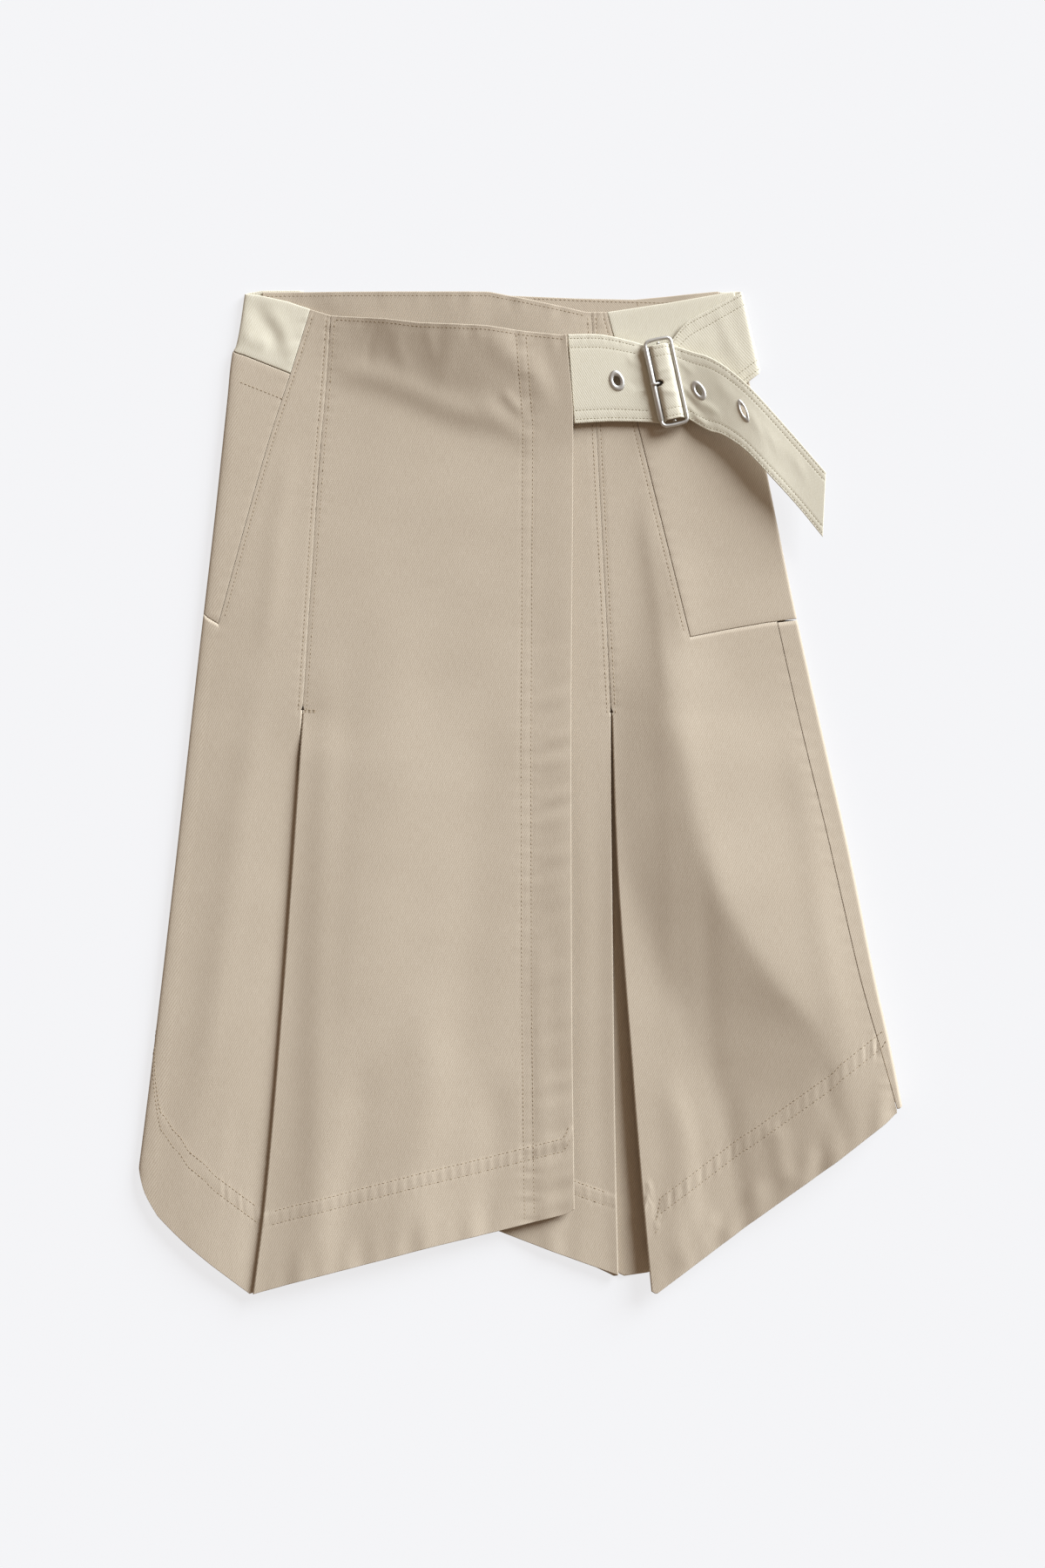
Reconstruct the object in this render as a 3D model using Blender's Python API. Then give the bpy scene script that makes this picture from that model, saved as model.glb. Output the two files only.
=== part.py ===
"""A handkerchief hem wrap skirt with a buckled belt, laid flat on a surface.

Lengths are in millimetres and are turned to metres as each mesh is made. X runs across the skirt, Y up from
the hem to the waist, and Z up from the surface. The origin is on the surface, under the middle of the box.
Each cloth is a wall round a middle surface: its outline lies in the cloth's own plane, where "across" is X on
the part that lies flat and goes on as a length of cloth round a rolled side or a pleat's fold.
"""

import bpy
import numpy as np

MM = 0.001

# Walls and clearances
WALL = 1.1  # skirt cloth
BAND = 1.5  # belt and strap, two layers and an interfacing
GAP = 0.35  # between walls that lie on each other
PLY = WALL + GAP  # from one wall's middle to the next one's
SEAM = 0.3
FLOOR = WALL / 2  # middle of a wall that lies on the surface


def track(*rows):
    """A line through rows of (place, value), in order of place."""
    return np.array(sorted(rows), float).T


def at(line, place):
    return np.interp(place, line[0], line[1])


# Outline and seams: (up, across)
LEFT_EDGE = track((386, -212), (344, -219), (338, -222), (301, -226), (207, -236), (100, -248.5),
                  (-61, -266.5), (-222, -285.5), (-289, -294))
RIGHT_EDGE = track((386, 165.5), (311, 178), (234, 193), (153, 209.5), (100, 221), (19, 239), (-34, 251),
                   (-88, 262), (-141, 272.5), (-195, 284.5), (-244, 294.2))
LEFT_SLANT = track((372, -161.5), (322, -177), (274, -192.5), (129, -232.5))
RIGHT_SLANT = track((370, 67), (284, 90.5), (119, 131), (-330, 175))
LEFT_PLEAT = track((367, -145.5), (295, -151), (274, -153), (63, -167.5), (-161, -183.5), (-316, -197),
                   (-387, -206))
WRAP_EDGE = track((352, 35.5), (283, 41), (33, 39.5), (-161, 40), (-321, 42))
RIGHT_PLEAT = track((370, 55.5), (283, 59), (61, 70.5))
UNDERLAP_START = track((386, -199), (-270, -185))
INNER_FOLD = track((61, 70.2), (6, 70.4), (-74, 71.2), (-275, 73.8), (-374, 76))
OUTER_FOLD = track((61, 70.9), (6, 72.4), (-61, 75), (-128, 79.5), (-195, 84.8), (-262, 90), (-329, 95.8),
                   (-383, 101))
UNDER_WIDTH = 45  # cloth of the left side that lies under it, up to the back's seam
POCKET_UNDER = 10  # cloth of the right pocket that lies under it
SIDE_SEAM = track((133, -11.8), (60, -11.6), (-20, -10.4), (-100, -8.6), (-163, -6), (-244, 0.5))
LEFT_TACK, RIGHT_TACK = 63, 61  # where the pleats open

# Edges across the cloth: (across, up)
LEFT_WAIST = track((-260, 387), (-226, 387), (-212, 384), (-199, 382.5), (-179, 378), (-161.5, 372),
                   (-145.5, 367))
WRAP_WAIST = track((-145.5, 367), (-104, 364), (-78, 360.5), (-26, 358), (2, 354), (33, 351), (36, 352))
UNDERLAP_WAIST = track((-199, 385.5), (-24, 385.5), (3, 380.5), (34, 374), (51, 370), (56, 370))
RIGHT_WAIST = track((56, 370), (68, 370), (114, 377), (163, 385.5), (240, 386))
LEFT_POCKET_TOP = track((-260, 352), (-225, 341), (-177, 322))
LEFT_POCKET_END = track((-330, 152), (-260, 146), (-243, 137), (-232.5, 129), (-160, 129))
RIGHT_POCKET_TOP = track((78, 318), (178, 338), (240, 345))
RIGHT_POCKET_END = track((90, 119), (131, 119), (158, 124.5), (189, 130), (213, 133), (260, 134))
SIDE_HEM = track((-345, -252), (-312, -258), (-304, -266), (-295.5, -287), (-288, -308), (-279.5, -327),
                 (-270, -337), (-258.5, -348), (-239, -364), (-208.5, -387), (-204, -385.5), (-172, -360))
WRAP_HEM = track((-235, -374), (-206, -387), (-169, -376.5), (-132, -367), (-69, -350.5), (-18, -338.5),
                 (36, -325), (42, -321))
UNDERLAP_HEM = track((-199, -274), (-18, -338.5), (29, -356), (79.5, -374), (82, -372.5), (112, -358))
RIGHT_UNDER_HEM = track((50, -352), (71, -363), (78, -374), (99, -371), (130, -352))
RIGHT_HEM = track((68, -366), (99, -380), (101.5, -384.5), (105, -386.5), (175, -333.5), (243, -284),
                  (281, -254), (288, -247), (295, -243))
# The back's hem, whose points stay behind the front's, and its waist, against the distance from the right edge
BACK_HEM = track((-5, -243), (15, -239), (60, -246), (145, -300), (290, -284), (425, -312), (545, -262))
BACK_WAIST = track((-5, 386), (60, 380), (105, 381), (200, 385), (330, 386), (420, 387))
TOP_EDGE, LOW_EDGE = 185, 295  # where those distances are counted from, at the waist and at the hem

LEFT_UNDER_HEM = track((-240, -356), (-204, -381), (-170, -357))

# Levels of the walls' middles: (up, level)
LEFT_LEVEL = track((384, 5), (200, 6.3), (63, 7), (-150, 8), (-387, 8.3))
RIGHT_LEVEL = track((386, 4.6), (340, 4.4), (280, 4.4), (207, 5), (63, 5.6), (-387, 5.6))
MIDDLE_LEVEL = track((384, 6.4), (200, 6.9), (90, 8), (19, 10.6), (-34, 11.6), (-141, 12.6), (-250, 13.2),
                     (-387, 13.2))
UNDERLAP_LEVEL = 2
# How far the right front's fold springs up, and how far the centre front's free edge stands off the underlap
FOLD_LOFT = track((61, 0), (-74, 3.2), (-141, 4.8), (-195, 5.8), (-262, 6.4), (-387, 6.6))
WRAP_LIFT = track((352, 0.6), (120, 0.8), (19, 2.4), (-100, 3), (-321, 2.6))
WAIST_RISE = 15  # the open waist's front stands up this far
INNER_ROLL = track((61, 0.8), (-61, 1.6), (-374, 1.9))  # reach of the underlap's fold
LEFT_ROLL = track((386, 8), (-300, 14))  # reach of the rolled left side
RIGHT_ROLL = track((386, 1.2), (285, 1.6), (207, 3.5), (-250, 5))
ROLL_POWER = 0.35  # of the cosine that gives a roll's height: 1 is an ellipse, and less is nearer a box
# Levels inside the pleats: the cloth at the back of each, and the ends of the two returns over it
LEFT_UNDER = track((63, 4), (23, 3.45))
SIDE_RETURN = track((63, 5.55), (23, 4.9))
WRAP_RETURN = track((63, 5.55), (23, 4.95))
RIGHT_UNDER = track((61, 2.5), (1, 2))
INNER_RETURN = track((61, 4), (1, 3.45))
FRONT_RETURN = track((61, 4.1), (1, 3.45))
PLEAT_FOLD = PLY / 2  # radius of a pressed fold
FOLD_REACH = PLEAT_FOLD + WALL / 2
PLEAT_DEPTH = track((61, 7), (-380, 26))
RETURN_START = 6  # from a fold to where its return starts down
FOLD_TOP = 9.3  # level of the centre front at the open left pleat's fold
UNDER_FOLD = 6.35  # level of the side front under that fold
TUCK = 5  # the side front's fold goes this far under the centre front's
STRAP_LIFT = 1.9  # the back's top right corner rises this far to lie on the strap

# The long fold of the right front: (up, across where its flank starts, its crest, rise, across where the far
# side ends, fall)
RIGHT_FOLDS = ((285, 92, 106, 0, 140, 0), (207, 88, 106, 1.8, 140, 0.8), (160, 92, 118, 3.4, 140, 1.8),
               (127, 90, 120, 4.4, 142, 2), (73, 74, 113, 6.6, 172, 2.6), (19, 73, 127, 9.6, 196, 2.4),
               (-34, 76, 136, 11, 204, 2), (-88, 90, 158, 12.6, 230, 0.9), (-141, 110, 192, 13.2, 248, 0.5),
               (-195, 134, 234, 12.6, 276, 0.4), (-240, 150, 246, 11.6, 286, 0.4),
               (-340, 156, 256, 8.6, 290, 0.4))
FLANK_START, CREST, FLANK_RISE, FAR_END, FAR_FALL = (track(*((row[0], row[k]) for row in RIGHT_FOLDS))
                                                     for k in (1, 2, 3, 4, 5))

# Buckle: a centre-bar frame, leaning to the left at the top
BUCKLE_MIDDLE = np.array((112.7, 315.4))
BUCKLE_TURN = np.radians(12.2)
BUCKLE_LEVEL = 12.5
BAR_LEVEL = 10.3  # the centre bar dips between its ends
BAR_DIP = np.array(((0, 12.2), (0.9, 12.1), (2, 10.7), (2.9, 10.3)))  # (distance from its end, level)
BUCKLE_SIZE = (20.1, 65.5)  # between the bars' middles, across and along
BAR = 1.45  # radius
ROLLER = 2.15
PRONG = 0.9
BUCKLE_CORNER = 3.2
ACROSS_BUCKLE = np.array((np.cos(BUCKLE_TURN), np.sin(BUCKLE_TURN)))
ALONG_BUCKLE = np.array((np.sin(BUCKLE_TURN), -np.cos(BUCKLE_TURN)))

# Eyelets: distance along the belt, share of its width, and the oval's half sizes
EYELET_HOLE = (2.8, 3.7)
EYELET_RIM = (5.7, 7.8)
EYELET_SLOT = (3.9, 5.1)
BELT_EYELETS = ((35.3, 0.522), (107, 0.5), (148.3, 0.432))
BELT_WIDTH = 66
PRONG_SLOT = (0.46, 0.54)  # shares of the belt's width, for the prong that comes up through it
HOOK_SLOT = (0.455, 0.545)  # and of the strap's, for the prong's hook round the centre bar

CLOTHS = {"gabardine": ((0.54, 0.46, 0.37), 0.85, 0.0), "cream": ((0.70, 0.66, 0.53), 0.85, 0.0),
          "steel": ((0.62, 0.60, 0.56), 0.28, 1.0)}


def soft(share):
    """A smooth step from 0 to 1."""
    share = np.clip(share, 0, 1)
    return share * share * (3 - 2 * share)


# ---- Levels of the cloths -------------------------------------------------------------------------------------


def waist_arch(across):
    """The open waist's front stands up in the middle and comes down to both sides."""
    return soft((across + 199) / 110) * soft((55 - across) / 110)


def eased(distance, ease):
    """0 before the start and the distance after it, with the corner eased: a log of one more than a power."""
    return ease * np.logaddexp(0, distance / ease)


def climb(place, start, end, first, last):
    """A straight climb from 0 at the start to 1 at the end, its corners eased over first and last."""
    return (eased(place - start, first) - eased(place - end, last)) / (end - start)


def right_level(across, up):
    """Right front: up from its sprung fold along a slanting flank to a crest, then gently down to the side."""
    crest = at(CREST, up)
    flank = at(FLANK_RISE, up) * climb(across, at(FLANK_START, up), crest, 5, 3.5)
    far = at(FAR_FALL, up) * climb(across, crest + 5, at(FAR_END, up), 3.5, 8)
    loft = at(FOLD_LOFT, up) * (1 - soft((across - crest) / 170))
    return at(RIGHT_LEVEL, up) + flank - far + loft


def strip_level(up):
    """The underlap where it shows, between the wrap's edge and the pleat."""
    return at(RIGHT_LEVEL, up)


def underlap_level(across, up):
    """Underlap: it lies on the back, and climbs to the strip that shows and to the open waist."""
    climb = (strip_level(up) - UNDERLAP_LEVEL) * soft((across + 28) / 66)
    return UNDERLAP_LEVEL + climb + 6 * waist_arch(across) * eased(up - 320, 8) / 65


def opened(up):
    """0 at the left pleat's tack and 1 where it has opened."""
    return soft((LEFT_TACK - up) / 40)


def waist_rise(across, up):
    """The front's free top rises to the waist edge, from the left seam to the wrap's edge, which it leaves
    a little lower."""
    start = 300 - 0.4 * np.clip(across + 75, -50, 90)
    share = soft((across + 172) / 132) * (1 - 0.3 * soft((across + 40) / 75))
    return WAIST_RISE * share * eased(up - start, 5) / (365 - start)


def wrap_level(across, up):
    """Centre front: from the pleat's fold up to a broad middle, then down to the edge over the underlap."""
    middle = at(MIDDLE_LEVEL, up)
    fold = at(LEFT_PLEAT, up)
    rest = at(LEFT_LEVEL, up)
    left = rest + (FOLD_TOP - rest) * opened(up) - middle
    right = strip_level(up) + PLY + 0.1 + at(WRAP_LIFT, up) - middle
    level = middle + left * (1 - soft((across - fold) / 55)) + right * soft((across + 130) / 170)
    return level + waist_rise(across, up)


def side_level(across, up):
    """Side front, left pocket and inset: level, and down a little where it goes under the pleat's fold."""
    rest = at(LEFT_LEVEL, up)
    away = at(LEFT_PLEAT, up) - across
    level = rest - 2.4 * soft((away - 12) / 90) * soft((200 - up) / 150)
    return level - opened(up) * (rest - UNDER_FOLD) * soft(1 - away / 40) + waist_rise(across, up)


def back_level(across, up):
    """Back: on the surface, but for the corner that lies on the strap's end."""
    lift = STRAP_LIFT * soft((up - 262) / 32) * soft((across - 110) / 28)
    return FLOOR + lift


# ---- Cloth that turns -----------------------------------------------------------------------------------------


def half_ellipse(reach, depth):
    """Length of cloth round half an ellipse."""
    return np.pi * np.sqrt((reach**2 + depth**2) / 2)


def left_tangent(up):
    return at(LEFT_EDGE, up) + at(LEFT_ROLL, up) + WALL / 2


def right_tangent(up):
    return at(RIGHT_EDGE, up) - at(RIGHT_ROLL, up) - WALL / 2


def left_turn(up):
    """Length of cloth round the left side's roll."""
    depth = (side_level(left_tangent(up), up) - FLOOR) / 2
    return half_ellipse(at(LEFT_ROLL, up), depth)


def right_turn(up):
    tangent = right_tangent(up)
    depth = (right_level(tangent, up) - back_level(tangent, up)) / 2
    return half_ellipse(at(RIGHT_ROLL, up), depth)


def rolled(across, up, tangent, reach, turn, level, under, side):
    """Cloth that goes over a side's roll and back under it. The roll is a half ellipse made fuller at its two
    shoulders. side is -1 on the left and 1 on the right."""
    beyond = (across - tangent) * side
    top = level(tangent, up)
    angle = np.pi * np.clip(beyond / turn, 0, 1)
    run = np.maximum(beyond - turn, 0)
    x = tangent + side * (reach * np.sin(angle) - run)
    low = under(x, up)
    height = np.sign(np.cos(angle)) * np.abs(np.cos(angle)) ** ROLL_POWER
    z = np.where(run > 0, low, (top + low) / 2 + (top - low) / 2 * height)
    flat = beyond <= 0
    return np.where(flat, across, x), np.where(flat, level(across, up), z)


def folded(across, up, fold, top, end, side):
    """Cloth pressed over a fold line and back under itself, down to the level end. It stays near the fold's
    lower side for the first few millimetres."""
    beyond = np.maximum((across - fold) * side, 0)
    bend = np.pi * PLEAT_FOLD
    angle = np.pi * np.clip(beyond / bend, 0, 1)
    run = np.maximum(beyond - bend, 0)
    x = fold + side * (PLEAT_FOLD * np.sin(angle) - run)
    low = top - 2 * PLEAT_FOLD
    share = soft((run - RETURN_START) / np.maximum(at(PLEAT_DEPTH, up) - RETURN_START - 1, 1))
    return x, top - PLEAT_FOLD * (1 - np.cos(angle)) + (end - low) * share


# ---- Nets of points -------------------------------------------------------------------------------------------


def spread(start, end, shares):
    """Columns at shares of the way between two lines, each a function of the place up the skirt."""
    return [lambda up, s=s: start(up) + (end(up) - start(up)) * s for s in shares]


def net(columns, levels, counts):
    """Points in the cloth's plane. Rows are shared out between level lines, each a function of across."""
    starts = np.repeat(np.arange(len(counts)), counts)
    shares = np.concatenate([np.arange(count) / count for count in counts])
    starts = np.append(starts, len(counts) - 1)
    shares = np.append(shares, 1)[:, None]
    up = np.tile(np.linspace(300, -300, len(starts))[:, None], (1, len(columns)))
    for _ in range(25):
        across = np.stack([column(up[:, j]) for j, column in enumerate(columns)], axis=1)
        lines = np.array([level(across) for level in levels])
        rows = np.arange(len(starts))
        up = lines[starts, rows] * (1 - shares) + lines[starts + 1, rows] * shares
    return across, up


def line(table, shift=0):
    return lambda place: at(table, place) + shift


def finish(mesh, name, cloth):
    obj = bpy.data.objects.new(name, mesh)
    bpy.context.scene.collection.objects.link(obj)
    colour, rough, metal = CLOTHS[cloth]
    material = bpy.data.materials.new(name + "_" + cloth)
    material.use_nodes = True
    shader = material.node_tree.nodes["Principled BSDF"]
    shader.inputs["Base Color"].default_value = (*colour, 1)
    shader.inputs["Roughness"].default_value = rough
    shader.inputs["Metallic"].default_value = metal
    mesh.materials.append(material)
    mesh.shade_smooth()
    mesh.set_sharp_from_angle(angle=np.radians(40))
    return obj


def wall(name, points, thickness=WALL, keep=None, cloth="gabardine"):
    """A closed wall round a net of points. keep marks the net's squares that are cloth."""
    rows, columns = points.shape[:2]
    down = np.gradient(points, axis=0)
    right = np.gradient(points, axis=1)
    normal = np.cross(down, right)
    normal /= np.linalg.norm(normal, axis=2, keepdims=True)
    outer = points + normal * thickness / 2
    inner = points - normal * thickness / 2
    index = np.arange(rows * columns).reshape(rows, columns)
    corners = np.stack([index[:-1, :-1], index[1:, :-1], index[1:, 1:], index[:-1, 1:]], axis=-1)
    keep = np.ones((rows - 1, columns - 1), bool) if keep is None else keep
    quads = corners[keep]
    under = rows * columns
    ends = np.concatenate([quads[:, [k, (k + 1) % 4]] for k in range(4)])
    both = set(map(tuple, ends))
    rim = [(b, a, a + under, b + under) for a, b in map(tuple, ends) if (b, a) not in both]
    faces = np.concatenate([quads, quads[:, ::-1] + under, np.array(rim)])
    used, faces = np.unique(faces, return_inverse=True)
    vertices = np.concatenate([outer.reshape(-1, 3), inner.reshape(-1, 3)])[used]
    mesh = bpy.data.meshes.new(name)
    mesh.from_pydata((vertices * MM).tolist(), [], faces.reshape(-1, 4).tolist())
    return finish(mesh, name, cloth)


def placed(x, y, z):
    return np.stack(np.broadcast_arrays(x, y, z), axis=-1)


BEND = np.array((0.25, 0.5, 0.75, 1)) * np.pi * PLEAT_FOLD  # cloth round a pressed fold
RETURN = np.array((0.3, 0.6, 1))


def beyond_fold(fold, side):
    """Columns round a fold and along its return, out from the fold line."""
    turns = [lambda up, b=b: fold(up) + side * b for b in BEND]
    runs = [lambda up, r=r: fold(up) + side * (BEND[-1] + r * at(PLEAT_DEPTH, up)) for r in RETURN]
    return turns + runs


# ---- Left side ------------------------------------------------------------------------------------------------


def left_seam(up):
    """Where the left side meets the back underneath, as cloth from the tangent outwards."""
    seam = at(LEFT_EDGE, up) + UNDER_WIDTH
    return left_tangent(up) - left_turn(up) - (seam - left_tangent(up))


def left_slant(up, shift=0):
    return np.maximum(at(LEFT_SLANT, up) + shift, left_tangent(up) + 1.5 + shift)


def left_columns():
    """From the seam with the back, round the roll, to the slanted seam."""
    rolls = [lambda up, s=s: left_tangent(up) - left_turn(up) * s for s in (1, 0.8, 0.65, 0.5, 0.35, 0.2, 0)]
    return spread(left_seam, rolls[0], (0, 0.4)) + rolls


def left_cloth(across, up):
    return rolled(across, up, left_tangent(up), at(LEFT_ROLL, up), left_turn(up), side_level,
                  lambda x, y: FLOOR, -1)


def left_piece(name, top, end, rows, cloth):
    """A hip piece between the back's seam and the slanted seam."""
    columns = left_columns() + spread(left_tangent, lambda up: left_slant(up, -SEAM), (0.5, 1))
    across, up = net(columns, (top, end), (rows,))
    x, z = left_cloth(across, up)
    return wall(name, placed(x, up, z), cloth=cloth)


def build_left_inset():
    return left_piece("left_inset", line(LEFT_WAIST), line(LEFT_POCKET_TOP, 2 * SEAM), 3, "cream")


def build_left_pocket():
    return left_piece("left_pocket", line(LEFT_POCKET_TOP), line(LEFT_POCKET_END, SEAM), 8, "gabardine")


def side_fold(up):
    """The side front's fold line: at the seam down to the tack, then under the centre front's fold."""
    tuck = TUCK * soft((LEFT_TACK - 40 - up) / 60)
    inset = FOLD_REACH * soft((LEFT_TACK + 4 - up) / 4)
    return at(LEFT_PLEAT, up) - SEAM / 2 - inset + tuck


def build_side_front():
    left = left_columns()
    front = spread(left_slant, side_fold, (0, 0.2, 0.4, 0.6, 0.8, 0.92, 1))
    turned = beyond_fold(side_fold, 1)
    levels = (line(LEFT_WAIST), line(LEFT_POCKET_END), lambda a: 0 * a + LEFT_TACK, line(SIDE_HEM))
    counts = (5, 2, 9)
    across, up = net(left + front + turned, levels, counts)
    x, z = left_cloth(across, up)
    fold = side_fold(up)
    top = side_level(fold, up)
    fx, fz = folded(across, up, fold, top, at(SIDE_RETURN, up), 1)
    x, z = np.where(across > fold, fx, x), np.where(across > fold, fz, z)
    keep = np.ones((sum(counts), across.shape[1] - 1), bool)
    keep[: counts[0], : len(left)] = False
    keep[: counts[0] + counts[1], len(left + front) - 1 :] = False
    return wall("side_front", placed(x, up, z), keep=keep)


# ---- Wrap -----------------------------------------------------------------------------------------------------


def wrap_fold(up):
    inset = FOLD_REACH * soft((LEFT_TACK + 4 - up) / 4)
    return at(LEFT_PLEAT, up) + SEAM / 2 + inset


def build_centre_front():
    turned = beyond_fold(wrap_fold, -1)[::-1]
    front = spread(wrap_fold, line(WRAP_EDGE), (0, 0.09, 0.18, 0.27, 0.4, 0.52, 0.64, 0.74, 0.83, 0.92, 1))
    counts = (6, 10)
    levels = (line(WRAP_WAIST), lambda a: 0 * a + LEFT_TACK, line(WRAP_HEM))
    across, up = net(turned + front, levels, counts)
    fold = wrap_fold(up)
    top = wrap_level(fold, up)
    fx, fz = folded(across, up, fold, top, at(WRAP_RETURN, up), -1)
    x, z = np.where(across < fold, fx, across), np.where(across < fold, fz, wrap_level(across, up))
    keep = np.ones((sum(counts), across.shape[1] - 1), bool)
    keep[: counts[0], : len(turned)] = False
    return wall("centre_front", placed(x, up, z), keep=keep)


def build_left_underlay():
    """The cloth at the back of the left pleat, under both folds' returns."""
    def left(up):
        return at(LEFT_PLEAT, up) - at(PLEAT_DEPTH, up)

    def right(up):
        return at(LEFT_PLEAT, up) + at(PLEAT_DEPTH, up)
    columns = spread(left, right, (0, 0.35, 0.65, 1))
    across, up = net(columns, (lambda a: 0 * a + LEFT_TACK + 3, line(LEFT_UNDER_HEM)), (8,))
    return wall("left_underlay", placed(across, up, at(LEFT_UNDER, up)))


# ---- Right side -----------------------------------------------------------------------------------------------


def underlap_fold(up):
    """The underlap's fold line: at the seam down to the tack, then in from the roll's edge."""
    seam = at(RIGHT_PLEAT, up) - SEAM / 2
    inner = at(INNER_FOLD, up) - at(INNER_ROLL, up) - WALL / 2
    return seam + (inner - seam) * soft((RIGHT_TACK + 4 - up) / 4)


def underlap_cloth(across, up):
    """Flat to the fold, then down round a soft roll and back along the underlay."""
    fold = underlap_fold(up)
    reach = at(INNER_ROLL, up)
    top = strip_level(up)
    low = at(INNER_RETURN, up)
    turn = half_ellipse(reach, (top - low) / 2)
    return rolled(across, up, fold, reach, turn, underlap_level, lambda x, y: low, 1)


def build_underlap():
    def turn(up):
        return half_ellipse(at(INNER_ROLL, up), (strip_level(up) - at(INNER_RETURN, up)) / 2)
    front = spread(line(UNDERLAP_START), underlap_fold, (0, 0.25, 0.5, 0.62, 0.7, 0.78, 0.86, 0.93, 1))
    turns = [lambda up, s=s: underlap_fold(up) + turn(up) * s for s in (0.15, 0.3, 0.5, 0.7, 0.85, 1)]
    runs = [lambda up, s=s: underlap_fold(up) + turn(up) + s * at(PLEAT_DEPTH, up) * 0.85 for s in (0.5, 1)]
    counts = (6, 9)
    levels = (line(UNDERLAP_WAIST), lambda a: 0 * a + RIGHT_TACK, line(UNDERLAP_HEM))
    across, up = net(front + turns + runs, levels, counts)
    x, z = underlap_cloth(across, up)
    keep = np.ones((sum(counts), across.shape[1] - 1), bool)
    keep[: counts[0], len(front) - 1 :] = False
    return wall("underlap", placed(x, up, z), keep=keep)


def build_right_underlay():
    """The cloth at the back of the right pleat."""
    def left(up):
        return at(INNER_FOLD, up) - at(PLEAT_DEPTH, up)

    def right(up):
        return at(OUTER_FOLD, up) + at(PLEAT_DEPTH, up)
    columns = spread(left, right, (0, 0.25, 0.4, 0.55, 0.7, 1))
    across, up = net(columns, (lambda a: 0 * a + RIGHT_TACK + 3, line(RIGHT_UNDER_HEM)), (8,))
    return wall("right_underlay", placed(across, up, at(RIGHT_UNDER, up)))


def front_fold(up):
    seam = at(RIGHT_PLEAT, up) + SEAM / 2
    inner = at(OUTER_FOLD, up) + FOLD_REACH
    return seam + (inner - seam) * soft((RIGHT_TACK + 4 - up) / 4)


def right_cloth(across, up):
    return rolled(across, up, right_tangent(up), at(RIGHT_ROLL, up), right_turn(up), right_level, back_level, 1)


def side_seam(up):
    return right_tangent(up) + at(SIDE_SEAM, up)


def near_side(up):
    return right_tangent(up) - 20


def build_right_front():
    turned = beyond_fold(front_fold, -1)[::-1]
    slant = line(RIGHT_SLANT)
    front = spread(front_fold, slant, (0, 0.12, 0.3, 0.5, 0.75, 1))
    side = spread(slant, near_side, (0.35, 0.7, 1)) + spread(near_side, side_seam, (0.4, 0.7, 0.93, 1))
    counts = (6, 2, 9)
    levels = (line(RIGHT_WAIST), line(RIGHT_POCKET_END), lambda a: 0 * a + RIGHT_TACK, line(RIGHT_HEM))
    across, up = net(turned + front + side, levels, counts)
    x, z = right_cloth(across, up)
    fold = front_fold(up)
    fx, fz = folded(across, up, fold, right_level(fold, up), at(FRONT_RETURN, up), -1)
    x, z = np.where(across < fold, fx, x), np.where(across < fold, fz, z)
    keep = np.ones((sum(counts), across.shape[1] - 1), bool)
    keep[: counts[0] + counts[1], : len(turned)] = False
    keep[: counts[0], len(turned + front) - 1 :] = False
    return wall("right_front", placed(x, up, z), keep=keep)


def right_piece(name, top, end, rows, cloth):
    """A hip piece from the slanted seam round the roll to its edge under the side."""
    slant = line(RIGHT_SLANT, SEAM)
    rolls = [lambda up, s=s: right_tangent(up) + right_turn(up) * s for s in (0, 0.2, 0.35, 0.5, 0.65, 0.8, 1)]
    under = [lambda up: right_tangent(up) + right_turn(up) + POCKET_UNDER]
    columns = spread(slant, near_side, (0, 0.25, 0.5, 0.75, 1)) + rolls + under
    across, up = net(columns, (top, end), (rows,))
    x, z = right_cloth(across, up)
    return wall(name, placed(x, up, z), cloth=cloth)


def build_right_inset():
    return right_piece("right_inset", line(RIGHT_WAIST), line(RIGHT_POCKET_TOP, 2 * SEAM), 3, "cream")


def build_right_pocket():
    return right_piece("right_pocket", line(RIGHT_POCKET_TOP), line(RIGHT_POCKET_END, SEAM), 8, "gabardine")


def build_back():
    """Back: a strip in front of the right side's roll, the roll, and the flat part that all else lies on."""
    def tangent_turn(up):
        return right_tangent(up) + right_turn(up)

    def start(up):
        return side_seam(up) + 3 * SEAM

    def left(up):
        run = right_tangent(up) - (at(LEFT_EDGE, up) + UNDER_WIDTH + SEAM)
        return tangent_turn(up) + run

    def pocket_edge(up):
        return tangent_turn(up) + POCKET_UNDER + SEAM
    strip = spread(start, tangent_turn, (0, 0.05, 0.3, 0.5, 0.7, 0.85, 1))
    flat = spread(pocket_edge, left, (0, 0.07, 0.14, 0.3, 0.5, 0.75, 1))
    counts = (6, 8)

    def along_edge(table, start):
        return lambda across: at(table, across - start)
    seam = line(RIGHT_POCKET_END, -3 * SEAM)
    levels = (along_edge(BACK_WAIST, TOP_EDGE), seam, along_edge(BACK_HEM, LOW_EDGE))
    across, up = net(strip + flat, levels, counts)
    x, z = right_cloth(across, up)
    keep = np.ones((sum(counts), across.shape[1] - 1), bool)
    keep[: counts[0], : len(strip)] = False
    return wall("back", placed(x, up, z), keep=keep)


# ---- Belt, strap and buckle -----------------------------------------------------------------------------------


def on_buckle(across, half, level, slip=0.0):
    """A row of the belt at a distance across the buckle, with half its width along the bars."""
    middle = BUCKLE_MIDDLE + ACROSS_BUCKLE * across + ALONG_BUCKLE * slip
    top = middle - ALONG_BUCKLE * half
    end = middle + ALONG_BUCKLE * half
    return (*top, level, *end, level)


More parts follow.
